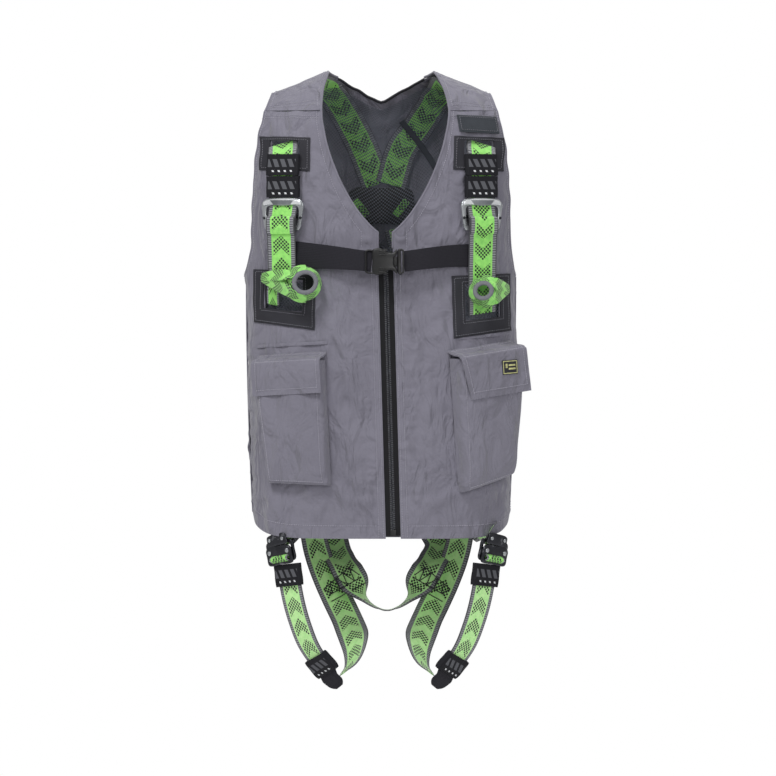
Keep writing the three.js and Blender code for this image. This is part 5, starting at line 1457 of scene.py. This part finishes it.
# plug: tongue, flange with a raised collar, and the slot of the webbing
flangeX = w + 0.001 + buckle["flange"] / 2
flange = smoothPath([(flangeX - 0.0040, 0), (flangeX - 0.0040, h - 0.003), (flangeX - 0.0015, h),
                     (flangeX + 0.0030, h - 0.0006),
                     (flangeX + 0.0048, h - 0.004), (flangeX + 0.0048, 0)], 6)
flange = np.concatenate([flange, (flange * [1, -1])[::-1][1:-1]])
slot = np.array([(flangeX + 0.0008, -0.0148), (flangeX + 0.0032, -0.0148), (flangeX + 0.0032, 0.0148),
                 (flangeX + 0.0008, 0.0148)])
platePiece("plug_flange", [flange, slot], 0.0115, 0.0018, buckleFrame, mouldedPlastic, "chest_plug",
           ["buckle_plug"])
tongue = np.array([(-0.0060, -0.0065), (flangeX - 0.002, -0.0072), (flangeX - 0.002, 0.0072),
                   (-0.0060, 0.0065)])
platePiece("plug_tongue", [tongue], 0.0038, 0.0008, buckleFrame, mouldedPlastic, "chest_plug")
print("zip and buckle made")


# ---------- pockets ----------
pocketWall, flapTop = 0.002, 0.009
pockets = {
    "right": {"side": right, "x": -0.127, "z": -0.386, "width": 0.101, "height": 0.176, "flap": 0.046,
              "roll": 0.05,
              "flapRoll": 0.0, "taper": 0.010, "lift": 0.008, "depth": 0.015, "seed": 3},
    "left": {"side": left, "x": 0.144, "z": -0.374, "width": 0.104, "height": 0.192, "flap": 0.060,
             "roll": 0.07,
             "flapRoll": 0.07, "taper": 0.018, "lift": 0.020, "depth": 0.024, "seed": 8},
}


def shellDepth(frameHere, u, v):
    """How far below a pocket's own plane the shell lies, by halving along the plane's normal."""
    low, high = np.full(np.shape(u), -0.09), np.full(np.shape(u), 0.02)
    for _ in range(26):
        at = (low + high) / 2
        out = fullness(placed(frameHere, np.stack([u, v, at], -1))) > 1
        low, high = np.where(out, low, at), np.where(out, at, high)
    return (low + high) / 2


def bagGrid(p, rows=84, cols=84):
    """u, v over a bag, closer together at its edges: u from inner to outer edge, v from mouth to foot."""
    mouth = -abs(p["flapRoll"]) * (p["width"] / 2 + 0.002) - 0.0005
    b, a = np.meshgrid(np.linspace(0, 1, rows + 1), np.linspace(-1, 1, cols + 1), indexing="ij")
    a, b = np.sin(a * math.pi / 2), np.sin(b * math.pi / 2)
    w = p["width"] / 2
    innerV = mix(mouth, -p["height"], b)
    outerV = mix(mouth, -p["height"] + p["lift"], b)
    fall = np.clip((-outerV - p["height"] * 0.3) / (p["height"] * 0.7 - p["lift"]), 0, 1)
    outerU = w - p["taper"] * fall
    share = (a + 1) / 2
    return a, b, p["side"] * mix(-w, outerU, share), mix(innerV, outerV, share)


threadRows = {"flap_right": [], "flap_left": []}
for hand, p in pockets.items():
    m = frameAt(p["x"], p["z"], front, 0.0, p["roll"])
    side = p["side"]
    a, b, u, v = bagGrid(p)
    base = shellDepth(m, u, v)
    base = np.minimum(base, 0.004) + 0.0010
    edge = (1 - np.abs(a) ** 6) ** (1 / 6) * (1 - b**9) ** (1 / 9)
    folds2 = 0.0011 * waves(u * 1.3, v * 0.6, p["seed"], 10, 0.09, 0.03)
    belly = 0.0035 * np.sin(np.clip(b, 0, 1) * math.pi) ** 1.5 * (1 - a**2)
    sag = -0.0045 * near(b, 0.16) * (1 - a**2)  # the mouth falls in a little under the flap
    corner = 0.0016 * np.sin((u * side + v) * 90) * near(b - 0.93, 0.18) * near(np.abs(a) - 0.8, 0.35)
    high = base + (p["depth"] - base) * edge + (folds2 + belly + sag + corner) * edge
    bag = placed(m, np.stack([u, v, high], -1))
    normals = gridNormals(bag)
    mesh = sheetMesh(f"pocket_{hand}", bag, normals, -pocketWall, 0.0, gridLength(bag))
    piece(f"pocket_{hand}", mesh, twillCloth, "vest", [f"pocket_bag_{hand}"])
    # stitches: beside the gusset seams and along the foot
    for c in (14, -15):
        vestRows.append(rowOn(bag, normals, np.s_[6:-12, c]))
    vestRows.append(rowOn(bag, normals, np.s_[-13, 14:-14]))
    # flap: from its seam on the shell over the pocket's edge, and down
    flapFrame = m @ turned("Z", p["flapRoll"])
    steps = smoothPath([(flapTop, 0.0), (flapTop * 0.55, 0.42), (0.0005, 0.93), (-0.006, 1.0),
                        (-p["flap"] * 0.5, 1.0),
                        (-p["flap"], 1.0)], 12)
    s = np.linspace(-1, 1, 71)
    vv, ss = np.meshgrid(steps[:, 0], s, indexing="ij")
    rise = np.broadcast_to(steps[:, 1:2], vv.shape)
    half = p["width"] / 2 + 0.002
    uu = ss * half
    inward = np.clip(-vv / p["flap"], 0, 1) * (0.010 if hand == "left" else 0.0)
    uu = uu + side * inward * (1 - side * ss) / 2
    floorHere = np.minimum(shellDepth(flapFrame, uu, np.full_like(uu, flapTop)), 0.004) + 0.0016
    plane = p["depth"] + 0.0030
    down = np.clip(-vv / p["flap"], 0, 1)
    ripple = 0.0010 * waves(uu, vv * 0.7, p["seed"] + 40, 10, 0.07, 0.025) * down
    lipWave = 0.0008 * np.sin(ss * 6 + p["seed"]) * down**2
    cornerDrop = -0.0014 * near(np.abs(ss) - 1, 0.18) * down**2
    high = floorHere + (plane - floorHere) * rise + (ripple + lipWave + cornerDrop) * rise
    flap = placed(flapFrame, np.stack([uu, vv, high], -1))
    normals = gridNormals(flap)
    mesh = sheetMesh(f"flap_{hand}", flap, normals, -0.0011, 0.0011, gridLength(flap))
    piece(f"flap_{hand}", mesh, twillCloth, f"flap_{hand}", [f"pocket_flap_{hand}"])
    rows = threadRows[f"flap_{hand}"]
    lift = normals * 0.0013
    rows += [((flap + lift)[2:-3, 4], normals[2:-3, 4]), ((flap + lift)[2:-3, -5], normals[2:-3, -5])]
    rows += [((flap + lift)[-5, 3:-3], normals[-5, 3:-3]), ((flap + lift)[3, 2:-2], normals[3, 2:-2])]
    rows += [((flap + lift)[26, 4:-4], normals[26, 4:-4])]
    # welt over the flap's seam
    sweepPiece(f"flap_welt_{hand}", flap[0] + normals[0] * 0.0006, np.cross(alongOf(flap[0]), normals[0]),
               roundProfile(0.007, 0.0028, 12, 3), twillCloth, "vest", "twill")
    # pleat seam above the pocket
    lineU = np.linspace(-half - 0.002, half + 0.002, 40)
    lineV = np.full(40, flapTop + 0.015)
    pleat = placed(m, np.stack([lineU, lineV, shellDepth(m, lineU, lineV)], -1))
    sweepPiece(f"pocket_seam_{hand}", pleat + outward(pleat) * 0.0009,
               np.cross(alongOf(pleat), outward(pleat)), roundProfile(0.005, 0.0016, 10, 3), twillCloth,
               "vest", "twill")

# woven label on the left flap, with a plain mark of its own
p = pockets["left"]
m = frameAt(p["x"], p["z"], front, 0.0, p["roll"])
labelAt = m @ shifted(0.024, -0.021, p["depth"] + 0.0050)
a, b = 0.0125, 0.0100
label = np.array([(-a, -b), (a, -b), (a, b), (-a, b)])
platePiece("label_cloth", [label], 0.0012, 0.0003, labelAt, patchCloth, "flap_left", ["flap_label"])
labelFrame = [label * [0.92, 0.9], (label * [0.84, 0.78])[::-1]]
labelGold = solidMaterial("labelThread", "#8F8F62", "#C9C78C", 0.7, 0.0, 2500.0, 0.4)
platePiece("label_border", labelFrame, 0.0006, 0.0001, labelAt @ shifted(z=0.0007), labelGold, "flap_left")
for number, (u0, v0, u1, v1) in enumerate(((-0.0075, -0.001, -0.0045, 0.005),
                                           (-0.0025, 0.0015, 0.0085, 0.0040),
                                           (-0.0025, -0.0035, 0.0085, -0.0010))):
    bar = np.array([(u0, v0), (u1, v0), (u1, v1), (u0, v1)])
    name = f"label_bar_{number}"
    platePiece(name, [bar], 0.0006, 0.0001, labelAt @ shifted(z=0.0007), labelGold, "flap_left")
print("pockets made")


# ---------- front textile loops ----------
loopRing = {
    right: {"x": -0.101, "z": -0.276, "width": 0.022, "off": 0.024},
    left: {"x": 0.134, "z": -0.289, "width": 0.020, "off": 0.022},
}
loopLook = {
    right: {"radius": 0.0195, "aim": (0.10, -1.0, 0.10), "pinch": (-0.160, -0.268), "lean": 0.45,
            "shift": (0, 0)},
    left: {"radius": 0.0158, "aim": (-0.06, -1.0, 0.06), "pinch": (0.171, -0.284), "lean": 0.50,
           "shift": (0, 0.002)},
}
for side in (right, left):
    hand, ring, look = handOf[side], loopRing[side], loopLook[side]
    aim = unit(np.array(look["aim"]))
    level = unit(np.cross([0, 0, 1.0], aim))
    centre = frameAt(ring["x"], ring["z"], front, ring["off"])[:3, 3] + [look["shift"][0], 0,
                                                                         look["shift"][1]]
    m = np.eye(4)
    m[:3, 0], m[:3, 1], m[:3, 2], m[:3, 3] = level, np.cross(aim, level), aim, centre

    def spokeAt(a, m=m):
        """Direction out from the ring's centre."""
        return np.stack([np.cos(a), np.sin(a), 0 * a], -1) @ m[:3, :3].T

    def ringAt(a, extra=0.0, radius=look["radius"], centre=centre):
        """Point of the ring, which is a little out of round."""
        r = radius * (1 + 0.03 * np.sin(2 * a + 1)) + extra
        return centre + spokeAt(a) * r[..., None]

    def widthOf(a, lean=look["lean"], aim=aim):
        """Width direction of the band, leaning so that its outer face turns to the front."""
        return aim * math.cos(lean) - spokeAt(a) * math.sin(lean)

    a = np.linspace(0, math.tau, 64, endpoint=False)
    sweepPiece(f"loop_band_{hand}", ringAt(a), widthOf(a), flatProfile(ring["width"], 0.0024, 12),
               harnessWebbing, f"loop_{hand}", "webbing", [f"front_loop_{hand}"], closed=True)
    rimPath = ringAt(a) + widthOf(a) * (ring["width"] / 2 - 0.0004)
    sweepPiece(f"loop_rim_{hand}", rimPath, spokeAt(a), roundProfile(0.0064, 0.0050, 12, 2.5), loopEdge,
               f"loop_{hand}", "webbing", closed=True)
    # the two ends of the loop twist flat and pinch together where they are sewn down
    px, pz = look["pinch"]
    pinch = frameAt(px, pz, front, 0.011)[:3, 3]
    outside = math.pi if (pinch - centre) @ level < 0 else 0.0
    for layer, way in (("upper", 1), ("lower", -1)):
        turns = outside - way * (1 if outside else -1) * np.array([0.60, 0.95, 1.3, 1.7])
        touch = ringAt(turns, 0.0030)
        knots = np.concatenate([[pinch + [0, 0.0012 * way, 0.0015 * way]],
                                [mix(pinch, touch[0], 0.5) + [0, -0.001 * way, 0.0008 * way]], touch])
        path = smoothPath(knots, 9)
        share = np.linspace(0, 1, len(path))[:, None]
        ease = np.clip((share - 0.04) / 0.36, 0, 1)
        wide = unit(mix(np.array([0.0, -0.5, -way]), widthOf(turns[0]), ease * ease * (3 - 2 * ease)))
        late = share[:, 0] > 0.4
        wide[late] = widthOf(np.interp(share[late, 0], [0.4, 0.6, 0.8, 1.0], turns))
        scale = np.stack([mix(0.45, 0.97, np.clip(share[:, 0] / 0.4, 0, 1) ** 0.7), 1 + 0 * share[:, 0]], -1)
        mesh = sweepMesh(f"loop_root_{layer}_{hand}", path, wide, flatProfile(ring["width"], 0.0020, 12),
                         scale=scale)
        made = piece(f"loop_root_{layer}_{hand}", mesh, harnessWebbing, f"loop_{hand}", ride=False)
        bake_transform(made)
print("loops made")


# ---------- webbing under the shell, dorsal plate and ring ----------
def meridian(x, s, offset):
    """Point at an arc length over the shoulder, front positive, with the way out of the cloth there."""
    def place(px, ps):
        """The surface at x and an arc length."""
        turn = min(abs(ps) / vest["shoulderRound"], math.pi / 2)
        below = max(0.0, abs(ps) - vest["shoulderRound"] * math.pi / 2)
        z = ridgeZ(px) - vest["shoulderRound"] * (1 - math.cos(turn)) - below
        return skin(px, z, front if ps > 0 else back)
    over = place(x + 1e-3, s) - place(x - 1e-3, s)
    along = place(x, s + 1e-3) - place(x, s - 1e-3)
    out = unit(np.cross(along, over))
    return place(x, s) + out * offset, out


for side in (right, left):
    hand, x = handOf[side], strapPlace(side)
    depth = webInside if side == right else -0.0082
    route = smoothPath([(x, 0.143, depth), (x * 0.9, 0.080, depth), (side * 0.102, 0.025, depth),
                        (side * 0.094, -0.030, depth), (side * 0.079 + 0.006, -0.081, depth),
                        (side * 0.048 + 0.006, -0.149, depth), (side * 0.028 + 0.002, -0.185, depth),
                        (-0.006 if side == right else 0.014, -0.238, depth)], 10)
    samples = [meridian(*row) for row in route]
    path, outs = np.array([s[0] for s in samples]), np.array([s[1] for s in samples])
    sweepPiece(f"back_webbing_{hand}", path, np.cross(alongOf(path), outs),
               flatProfile(webbing["width"], 0.0018, 12), harnessWebbing, "vest", "webbing",
               [f"back_strap_{hand}"])

plateFrame = frameAt(0.0, dorsalZ, back, webInside - 0.0017)
w, h = 0.047, 0.025
outline = smoothPath([(w, 0), (w - 0.002, h - 0.006), (w - 0.008, h), (0, h + 0.0005), (-w + 0.008, h),
                      (-w + 0.002, h - 0.006),
                      (-w, 0), (-w + 0.002, -h + 0.006), (-w + 0.008, -h), (0, -h - 0.0005), (w - 0.008, -h),
                      (w - 0.002, -h + 0.006), (w, 0)], 5)[:-1]
slots = []
for side in (right, left):
    c, s = math.cos(side * 0.9), math.sin(side * 0.9)
    slotBox = np.array([(-0.011, -0.0025), (0.011, -0.0025), (0.011, 0.0025), (-0.011, 0.0025)])
    slots.append((slotBox @ np.array([[c, s], [-s, c]]) + [side * 0.0282, -0.003])[::-1])
platePiece("dorsal_back_plate", [outline, *slots], 0.0022, 0.0007, plateFrame @ shifted(z=0.0011),
           mouldedPlastic, "vest", ["dorsal_plate"])
for side in (right, left):
    turn = plateFrame @ shifted(side * 0.0285, -0.003, -0.0010) @ turned("Z", side * 0.9)
    line = np.stack([np.linspace(-0.0135, 0.0135, 16), np.zeros(16), 0.0012 * np.cos(np.linspace(-2, 2, 16))],
                    -1)
    sweepPiece(f"dorsal_slot_webbing_{handOf[side]}", placed(turn, line), turn[:3, 1],
               flatProfile(0.0105, 0.0018, 8), harnessWebbing, "vest", "webbing")
ring = {"half": 0.031, "lift": 0.009, "drop": -0.014}
for end in (-1, 1):
    lug = plateFrame @ shifted(end * 0.0125, 0, 0.0022 + ring["lift"]) @ turned("Y", math.pi / 2)
    bore = disc(0.0037, 0, 0)[::-1]
    lugOutline = smoothPath([(0.0115, -0.0068), (0.0005, -0.0070), (-0.0055, -0.0040), (-0.0068, 0),
                             (-0.0055, 0.0040),
                             (0.0005, 0.0070), (0.0115, 0.0068)], 5)
    name = f"dorsal_lug_{'a' if end < 0 else 'b'}"
    platePiece(name, [lugOutline, bore], 0.006, 0.0009, lug, mouldedPlastic, "vest")
a = np.linspace(math.pi, math.tau, 40)
bow = np.stack([np.cos(a) * ring["half"], ring["drop"] + np.sin(a) * ring["half"], 0 * a], -1)
corner = 0.006
straight = np.stack([np.linspace(ring["half"] - corner, -ring["half"] + corner, 24), np.zeros(24),
                     np.zeros(24)], -1)
turnA = np.array([(-ring["half"] + corner * (1 - math.sin(t)), -corner * (1 - math.cos(t)),
                   0) for t in np.linspace(0.2, math.pi / 2, 6)])
turnB = (turnA * [-1, 1, 1])[::-1]
loopLine = np.concatenate([straight, turnA, bow, turnB])
ringFrame = plateFrame @ shifted(z=0.0022 + ring["lift"])
sweepPiece("dorsal_d_ring", placed(ringFrame, loopLine), ringFrame[:3, 2], roundProfile(0.0058, 0.0058, 16),
           whiteAlloy, "ring", "alloy", ["dorsal_ring"], closed=True)
print("dorsal ring made")


# ---------- seat strap and leg loops ----------
legMirror, hemZ = 0.0084, vest["hemZ"]


def across(side, points):
    """Points given for the right leg as x, y and drop below the hem, mirrored for the left."""
    return np.array([[x if side == right else 2 * legMirror - x, y, hemZ - drop] for x, y, drop in points])


seatHigh = [(0.026, dorsalZ - 0.031), (0.048, -0.290), (0.066, -0.430), (0.074, hemZ + 0.074),
            (0.072, hemZ + 0.022)]
seatLow = [(-0.067, 0.088, 0.008), (-0.060, 0.070, 0.026), (-0.048, 0.051, 0.046), (-0.036, 0.045, 0.066),
           (-0.023, 0.045, 0.084), (-0.008, 0.052, 0.097), (legMirror, 0.056, 0.1025)]
seatDepth = -0.152 * webbing["width"]
inside = {side: [frameAt(side * x, z, back, seatDepth)[:3, 3] for x, z in seatHigh] for side in (right, left)}
rising = [*inside[left], *across(left, seatLow[:-1])][::-1]
path = smoothPath([*inside[right], *across(right, seatLow), *rising], 9)
lowTurn = np.clip((hemZ - path[:, 2] - 0.048) / 0.0545, 0, 1)
lowTurn = lowTurn**2 * (3 - 2 * lowTurn) * math.pi / 2
handed = np.where(np.arange(len(path)) < (len(path) - 1) / 2, -1, 1)
level = np.array([frameAt(px, max(pz, hemZ), back)[:3, 0] for px, _, pz in path])
facing = np.clip((hemZ - path[:, 2]) / 0.03, 0, 1)[:, None]
level = level * (1 - facing) + facing * np.array([-0.93, 0, 0.0])
level = unit(level + facing * handed[:, None] * np.array([0, -0.25, -0.30]))
wide = level * (handed * np.cos(lowTurn))[:, None] + np.sin(lowTurn)[:, None] * np.array([0, 1, 0])
# the seat, hip, thigh and outer leg straps take the paler webbing copy, which is painted light
bandPiece("seat_webbing", path, wide, "vest", ["seat_strap"], middle=len(path) // 2, material=paintedLightLegWebbing)

hipX = webbing["width"] / 2 - 0.158
thighPoints = [(-0.097, 0.062, -0.012), (-0.090, 0.058, 0.020), (-0.077, 0.056, 0.056),
               (-0.060, 0.050, 0.090),
               (-0.044, 0.020, 0.124), (-0.036, -0.010, 0.150), (-0.040, -0.032, 0.175),
               (-0.052, -0.0398, 0.1886)]
outerPoints = [(-0.131, -0.074, 0.038), (-0.127, -0.074, 0.065), (-0.121, -0.072, 0.094),
               (-0.113, -0.068, 0.121),
               (-0.102, -0.063, 0.149), (-0.088, -0.058, 0.171), (-0.080, -0.056, 0.180)]
outerWide = np.array([0.7, -0.71, 0])


def legFrame(side, point, along):
    """Frame with X across the leg webbing, Y up along it and Z out of it."""
    mirror = 1 if side == right else -1
    up = unit(np.array([mirror * along[0], along[1], along[2]]))
    wide = np.array([mirror * outerWide[0], outerWide[1], 0])
    out = unit(np.cross(wide, up) if mirror > 0 else np.cross(up, wide))
    made = np.eye(4)
    made[:3, 0], made[:3, 1], made[:3, 2] = unit(np.cross(up, out)), up, out
    made[:3, 3] = across(side, [point])[0]
    return made


legBuckle = {"width": 0.054, "height": 0.030, "thick": 0.0035}
for side in (right, left):
    hand, mirror = handOf[side], 1 if side == right else -1
    face = np.array([mirror, 1, 1])
    hip = [(hipX, -0.334), (hipX - 0.001, -0.430), (hipX - 0.001, hemZ + 0.114), (hipX, hemZ + 0.038)]
    path, wide = surfacePath([(x if side == right else 2 * strapMirror - x + 0.004, z, -0.008) for x,
                              z in hip], front)
    lastAt = across(side, [(-0.1400, -0.0665, 0.002), (-0.1400, -0.0715, 0.0125)])
    under = frameAt(lastAt[0, 0] * 0.95, hemZ + 0.020, front, -0.014)[:3, 3]
    end = smoothPath(np.concatenate([path[-1:], under[None], lastAt]), 8)[1:]
    share = np.linspace(0, 1, len(end))[:, None]
    wide = np.concatenate([wide, unit(mix(wide[-1], outerWide * face, share))])
    path = np.concatenate([path, end])
    bandPiece(f"hip_webbing_{hand}", path, wide, "vest", [f"hip_strap_{hand}"], material=paintedLightLegWebbing)
    thigh = smoothPath(across(side, thighPoints), 9)
    share = np.linspace(0, 1, len(thigh))[:, None]
    turn = np.interp(share, [0, 0.55, 0.72, 0.88, 1], [0.6, 0.35, 0.85, 1.3, 1.5])
    wide = np.concatenate([np.cos(turn), np.where(share < 0.5, 1, -1) * np.sin(turn), 0 * share], 1)
    blend = near(share - 0.5, 0.12)
    wide = unit(wide * (1 - blend) + blend * np.array([1.0, 0, 0])) * face
    bandPiece(f"thigh_webbing_{hand}", thigh, wide, "vest", [f"thigh_strap_{hand}"], flip=-1.0,
              material=paintedLightLegWebbing)
    outer = smoothPath(across(side, outerPoints), 9)
    bandPiece(f"outer_leg_webbing_{hand}", outer, outerWide * face, f"leg_{hand}",
              [f"outer_leg_strap_{hand}"], flip=-1.0,
              material=paintedLightLegWebbing)
    at = legFrame(side, (-0.1296, -0.074, 0.051), (-0.12, 0, 1))
    mesh = sleeveMesh(f"leg_keeper_band_{hand}", at, keeper["width"], 0.031, 0.0094, 0.0012, 0.1)
    piece(f"leg_keeper_band_{hand}", mesh, keeperElastic, f"leg_keeper_{hand}",
          [f"leg_keeper_{hand}"])
    # cover sewn over the end where the two straps meet, with a folded tab below
    at = legFrame(side, (-0.083, -0.0568, 0.177), (-0.64, -0.1, 0.76))
    mesh = sleeveMesh(f"strap_cover_{hand}", at, 0.052, 0.030, 0.0125, 0.0016, 0.35)
    piece(f"strap_cover_{hand}", mesh, keeperElastic, f"leg_{hand}", [f"strap_end_{hand}"])
    t = np.linspace(0, 1, 24)
    tab = np.stack([0.002 * t * mirror, mix(-0.012, -0.040, t),
                    0.0034 * np.minimum(1, t * 3) + 0.0010 * np.sin(t * 5)], -1)
    scale = np.stack([0.96 - 0.10 * t - 0.55 * np.clip((t - 0.6) / 0.4, 0, 1) ** 2.4,
                      1 + 0.3 * near(t - 1, 0.25)], -1)
    sweepPiece(f"strap_tab_{hand}", placed(at, tab), at[:3, 0], flatProfile(0.042, 0.0044, 12), darkWebbing,
               f"leg_{hand}", "dark_webbing", scale=scale)
    # buckle: a slotted plate on the hip strap, and the tongue that lies in front of it
    at = legFrame(side, (-0.140, -0.072, 0.018), (-0.2, 0, 1))
    w, h = legBuckle["width"] / 2, legBuckle["height"] / 2
    plate = smoothPath([(w, 0), (w, h - 0.004), (w - 0.004, h), (0, h), (-w + 0.004, h), (-w, h - 0.004),
                        (-w, 0),
                        (-w, -h + 0.004), (-w + 0.004, -h), (0, -h), (w - 0.004, -h), (w, -h + 0.004),
                        (w, 0)], 4)[:-1]
    topSlot = np.array([(-0.0225, h - 0.011), (0.0225, h - 0.011), (0.0225, h - 0.004),
                        (-0.0225, h - 0.004)])[::-1]
    lowSlot = np.array([(-0.0225, -h + 0.004), (0.0225, -h + 0.004), (0.0225, -h + 0.012),
                        (-0.0225, -h + 0.012)])[::-1]
    platePiece(f"leg_buckle_plate_{hand}", [plate, topSlot, lowSlot], legBuckle["thick"], 0.0009, at,
               darkSteel, f"leg_buckle_{hand}", [f"leg_buckle_{hand}"])
    head = smoothPath([(0.0195, 0), (0.0185, 0.0062), (0.014, 0.0085), (0, 0.0088), (-0.014, 0.0085),
                       (-0.0185, 0.0062),
                       (-0.0195, 0), (-0.0200, -0.0058), (-0.017, -0.0075), (0, -0.0075), (0.017, -0.0075),
                       (0.0200, -0.0058), (0.0195, 0)], 4)[:-1]
    platePiece(f"leg_buckle_head_{hand}", [head], 0.0034, 0.0012,
               at @ shifted(0, 0.0165, 0.0040) @ turned("Z", 0.06 * mirror), darkSteel, f"leg_buckle_{hand}")
    for number, rx in enumerate((-0.013, 0.013)):
        rivet = disc(0.0026, rx, 0.0178)
        name = f"leg_head_rivet_{hand}_{number}"
        platePiece(name, [rivet], 0.0020, 0.0008, at @ shifted(z=0.0064), whiteAlloy, f"leg_buckle_{hand}")
    roll = np.stack([np.zeros(12), np.linspace(-0.0140, 0.0, 12),
                     -0.0016 + 0.0035 * np.sin(np.linspace(0, math.pi, 12))], -1)
    sweepPiece(f"leg_buckle_webbing_{hand}", placed(at, roll), at[:3, 0], flatProfile(0.040, 0.0018, 10),
               harnessWebbing, f"leg_buckle_{hand}", "webbing")
    w, h = w - 0.002, 0.013
    tongueOut = smoothPath([(w, 0), (w, h - 0.005), (w - 0.005, h), (0, h + 0.0005), (-w + 0.005, h),
                            (-w, h - 0.005), (-w, 0),
                            (-w, -h + 0.003), (-w + 0.003, -h), (0, -h), (w - 0.003, -h), (w, -h + 0.003),
                            (w, 0)], 4)[:-1]
    slot = np.array([(-0.0195, -0.0102), (0.0195, -0.0102), (0.0195, 0.0004), (-0.0195, 0.0004)])[::-1]
    tongueAt = at @ shifted(0, -0.005, 0.0045)
    platePiece(f"leg_tongue_plate_{hand}", [tongueOut, slot], 0.003, 0.0009, tongueAt, darkSteel,
               f"leg_{hand}", [f"leg_tongue_{hand}"])
    bend = np.linspace(0, 1, 16)
    roll = np.stack([0 * bend, mix(-0.0098, -0.0002, bend), -0.0012 + 0.0058 * np.sin(math.pi * bend)], -1)
    sweepPiece(f"leg_tongue_webbing_{hand}", placed(tongueAt, roll), at[:3, 0],
               flatProfile(0.036, 0.0018, 10), harnessWebbing, f"leg_{hand}", "webbing")
    for number, (rx, ry) in enumerate(((-0.018, 0.005), (0.018, 0.005))):
        rivet = disc(0.0032, rx, ry)
        name = f"leg_rivet_{hand}_{number}"
        platePiece(name, [rivet], 0.0022, 0.0008, tongueAt @ shifted(z=0.0018), whiteAlloy, f"leg_{hand}")
    # box of black zigzag stitches that joins the thigh strap to the seat strap
    lines = [((-0.081, 0.052, 0.073), (-0.041, 0.0435, 0.038)),
             ((-0.073, 0.0505, 0.081), (-0.027, 0.0415, 0.055)),
             ((-0.070, 0.0495, 0.090), (-0.021, 0.041, 0.063))]
    edges = []
    for a, b in lines:
        edges.append(mix(np.array(a), np.array(b), np.linspace(0, 1, 24)[:, None]))
    count = 9
    teeth = [mix(np.array(lines[k % 2][0]), np.array(lines[k % 2][1]), k / count) for k in range(count + 1)]
    edges.append(np.concatenate([mix(p, q, np.linspace(0, 1, 8, endpoint=False)[:, None]) for p,
                                 q in zip(teeth, teeth[1:])]))
    rows = []
    for line in edges:
        bow = line + np.array([0, -0.0065, 0])
        path = across(side, bow)
        rows.append((path, np.broadcast_to([0.0, -1.0, 0.0], path.shape)))
    mesh = stitchMesh(f"leg_join_stitching_{hand}", rows, 0.0028, 0.0029, 0.0017, 0.0014)
    piece(f"leg_join_stitching_{hand}", mesh, darkThread, "vest")
print("legs made")


# ---------- thread ----------
piece("topstitching", stitchMesh("topstitching", vestRows), paleThread, "vest")
piece("patch_stitching", stitchMesh("patch_stitching", darkRows), greyThread, "vest")
for name, rows in threadRows.items():
    piece(f"stitching_{name}", stitchMesh(f"stitching_{name}", rows), paleThread, name)

# ---------- finishes of the parts that keep their own shape ----------
for name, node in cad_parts.items():
    if node.hide_render:
        continue
    finish = mouldedPlastic if "prong" in name else darkSteel
    if not node.material_slots:
        node.data.materials.append(finish)
    for slotHere in node.material_slots:
        slotHere.material = finish
print("shown frame nodes:", [n for n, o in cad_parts.items() if not o.hide_render])
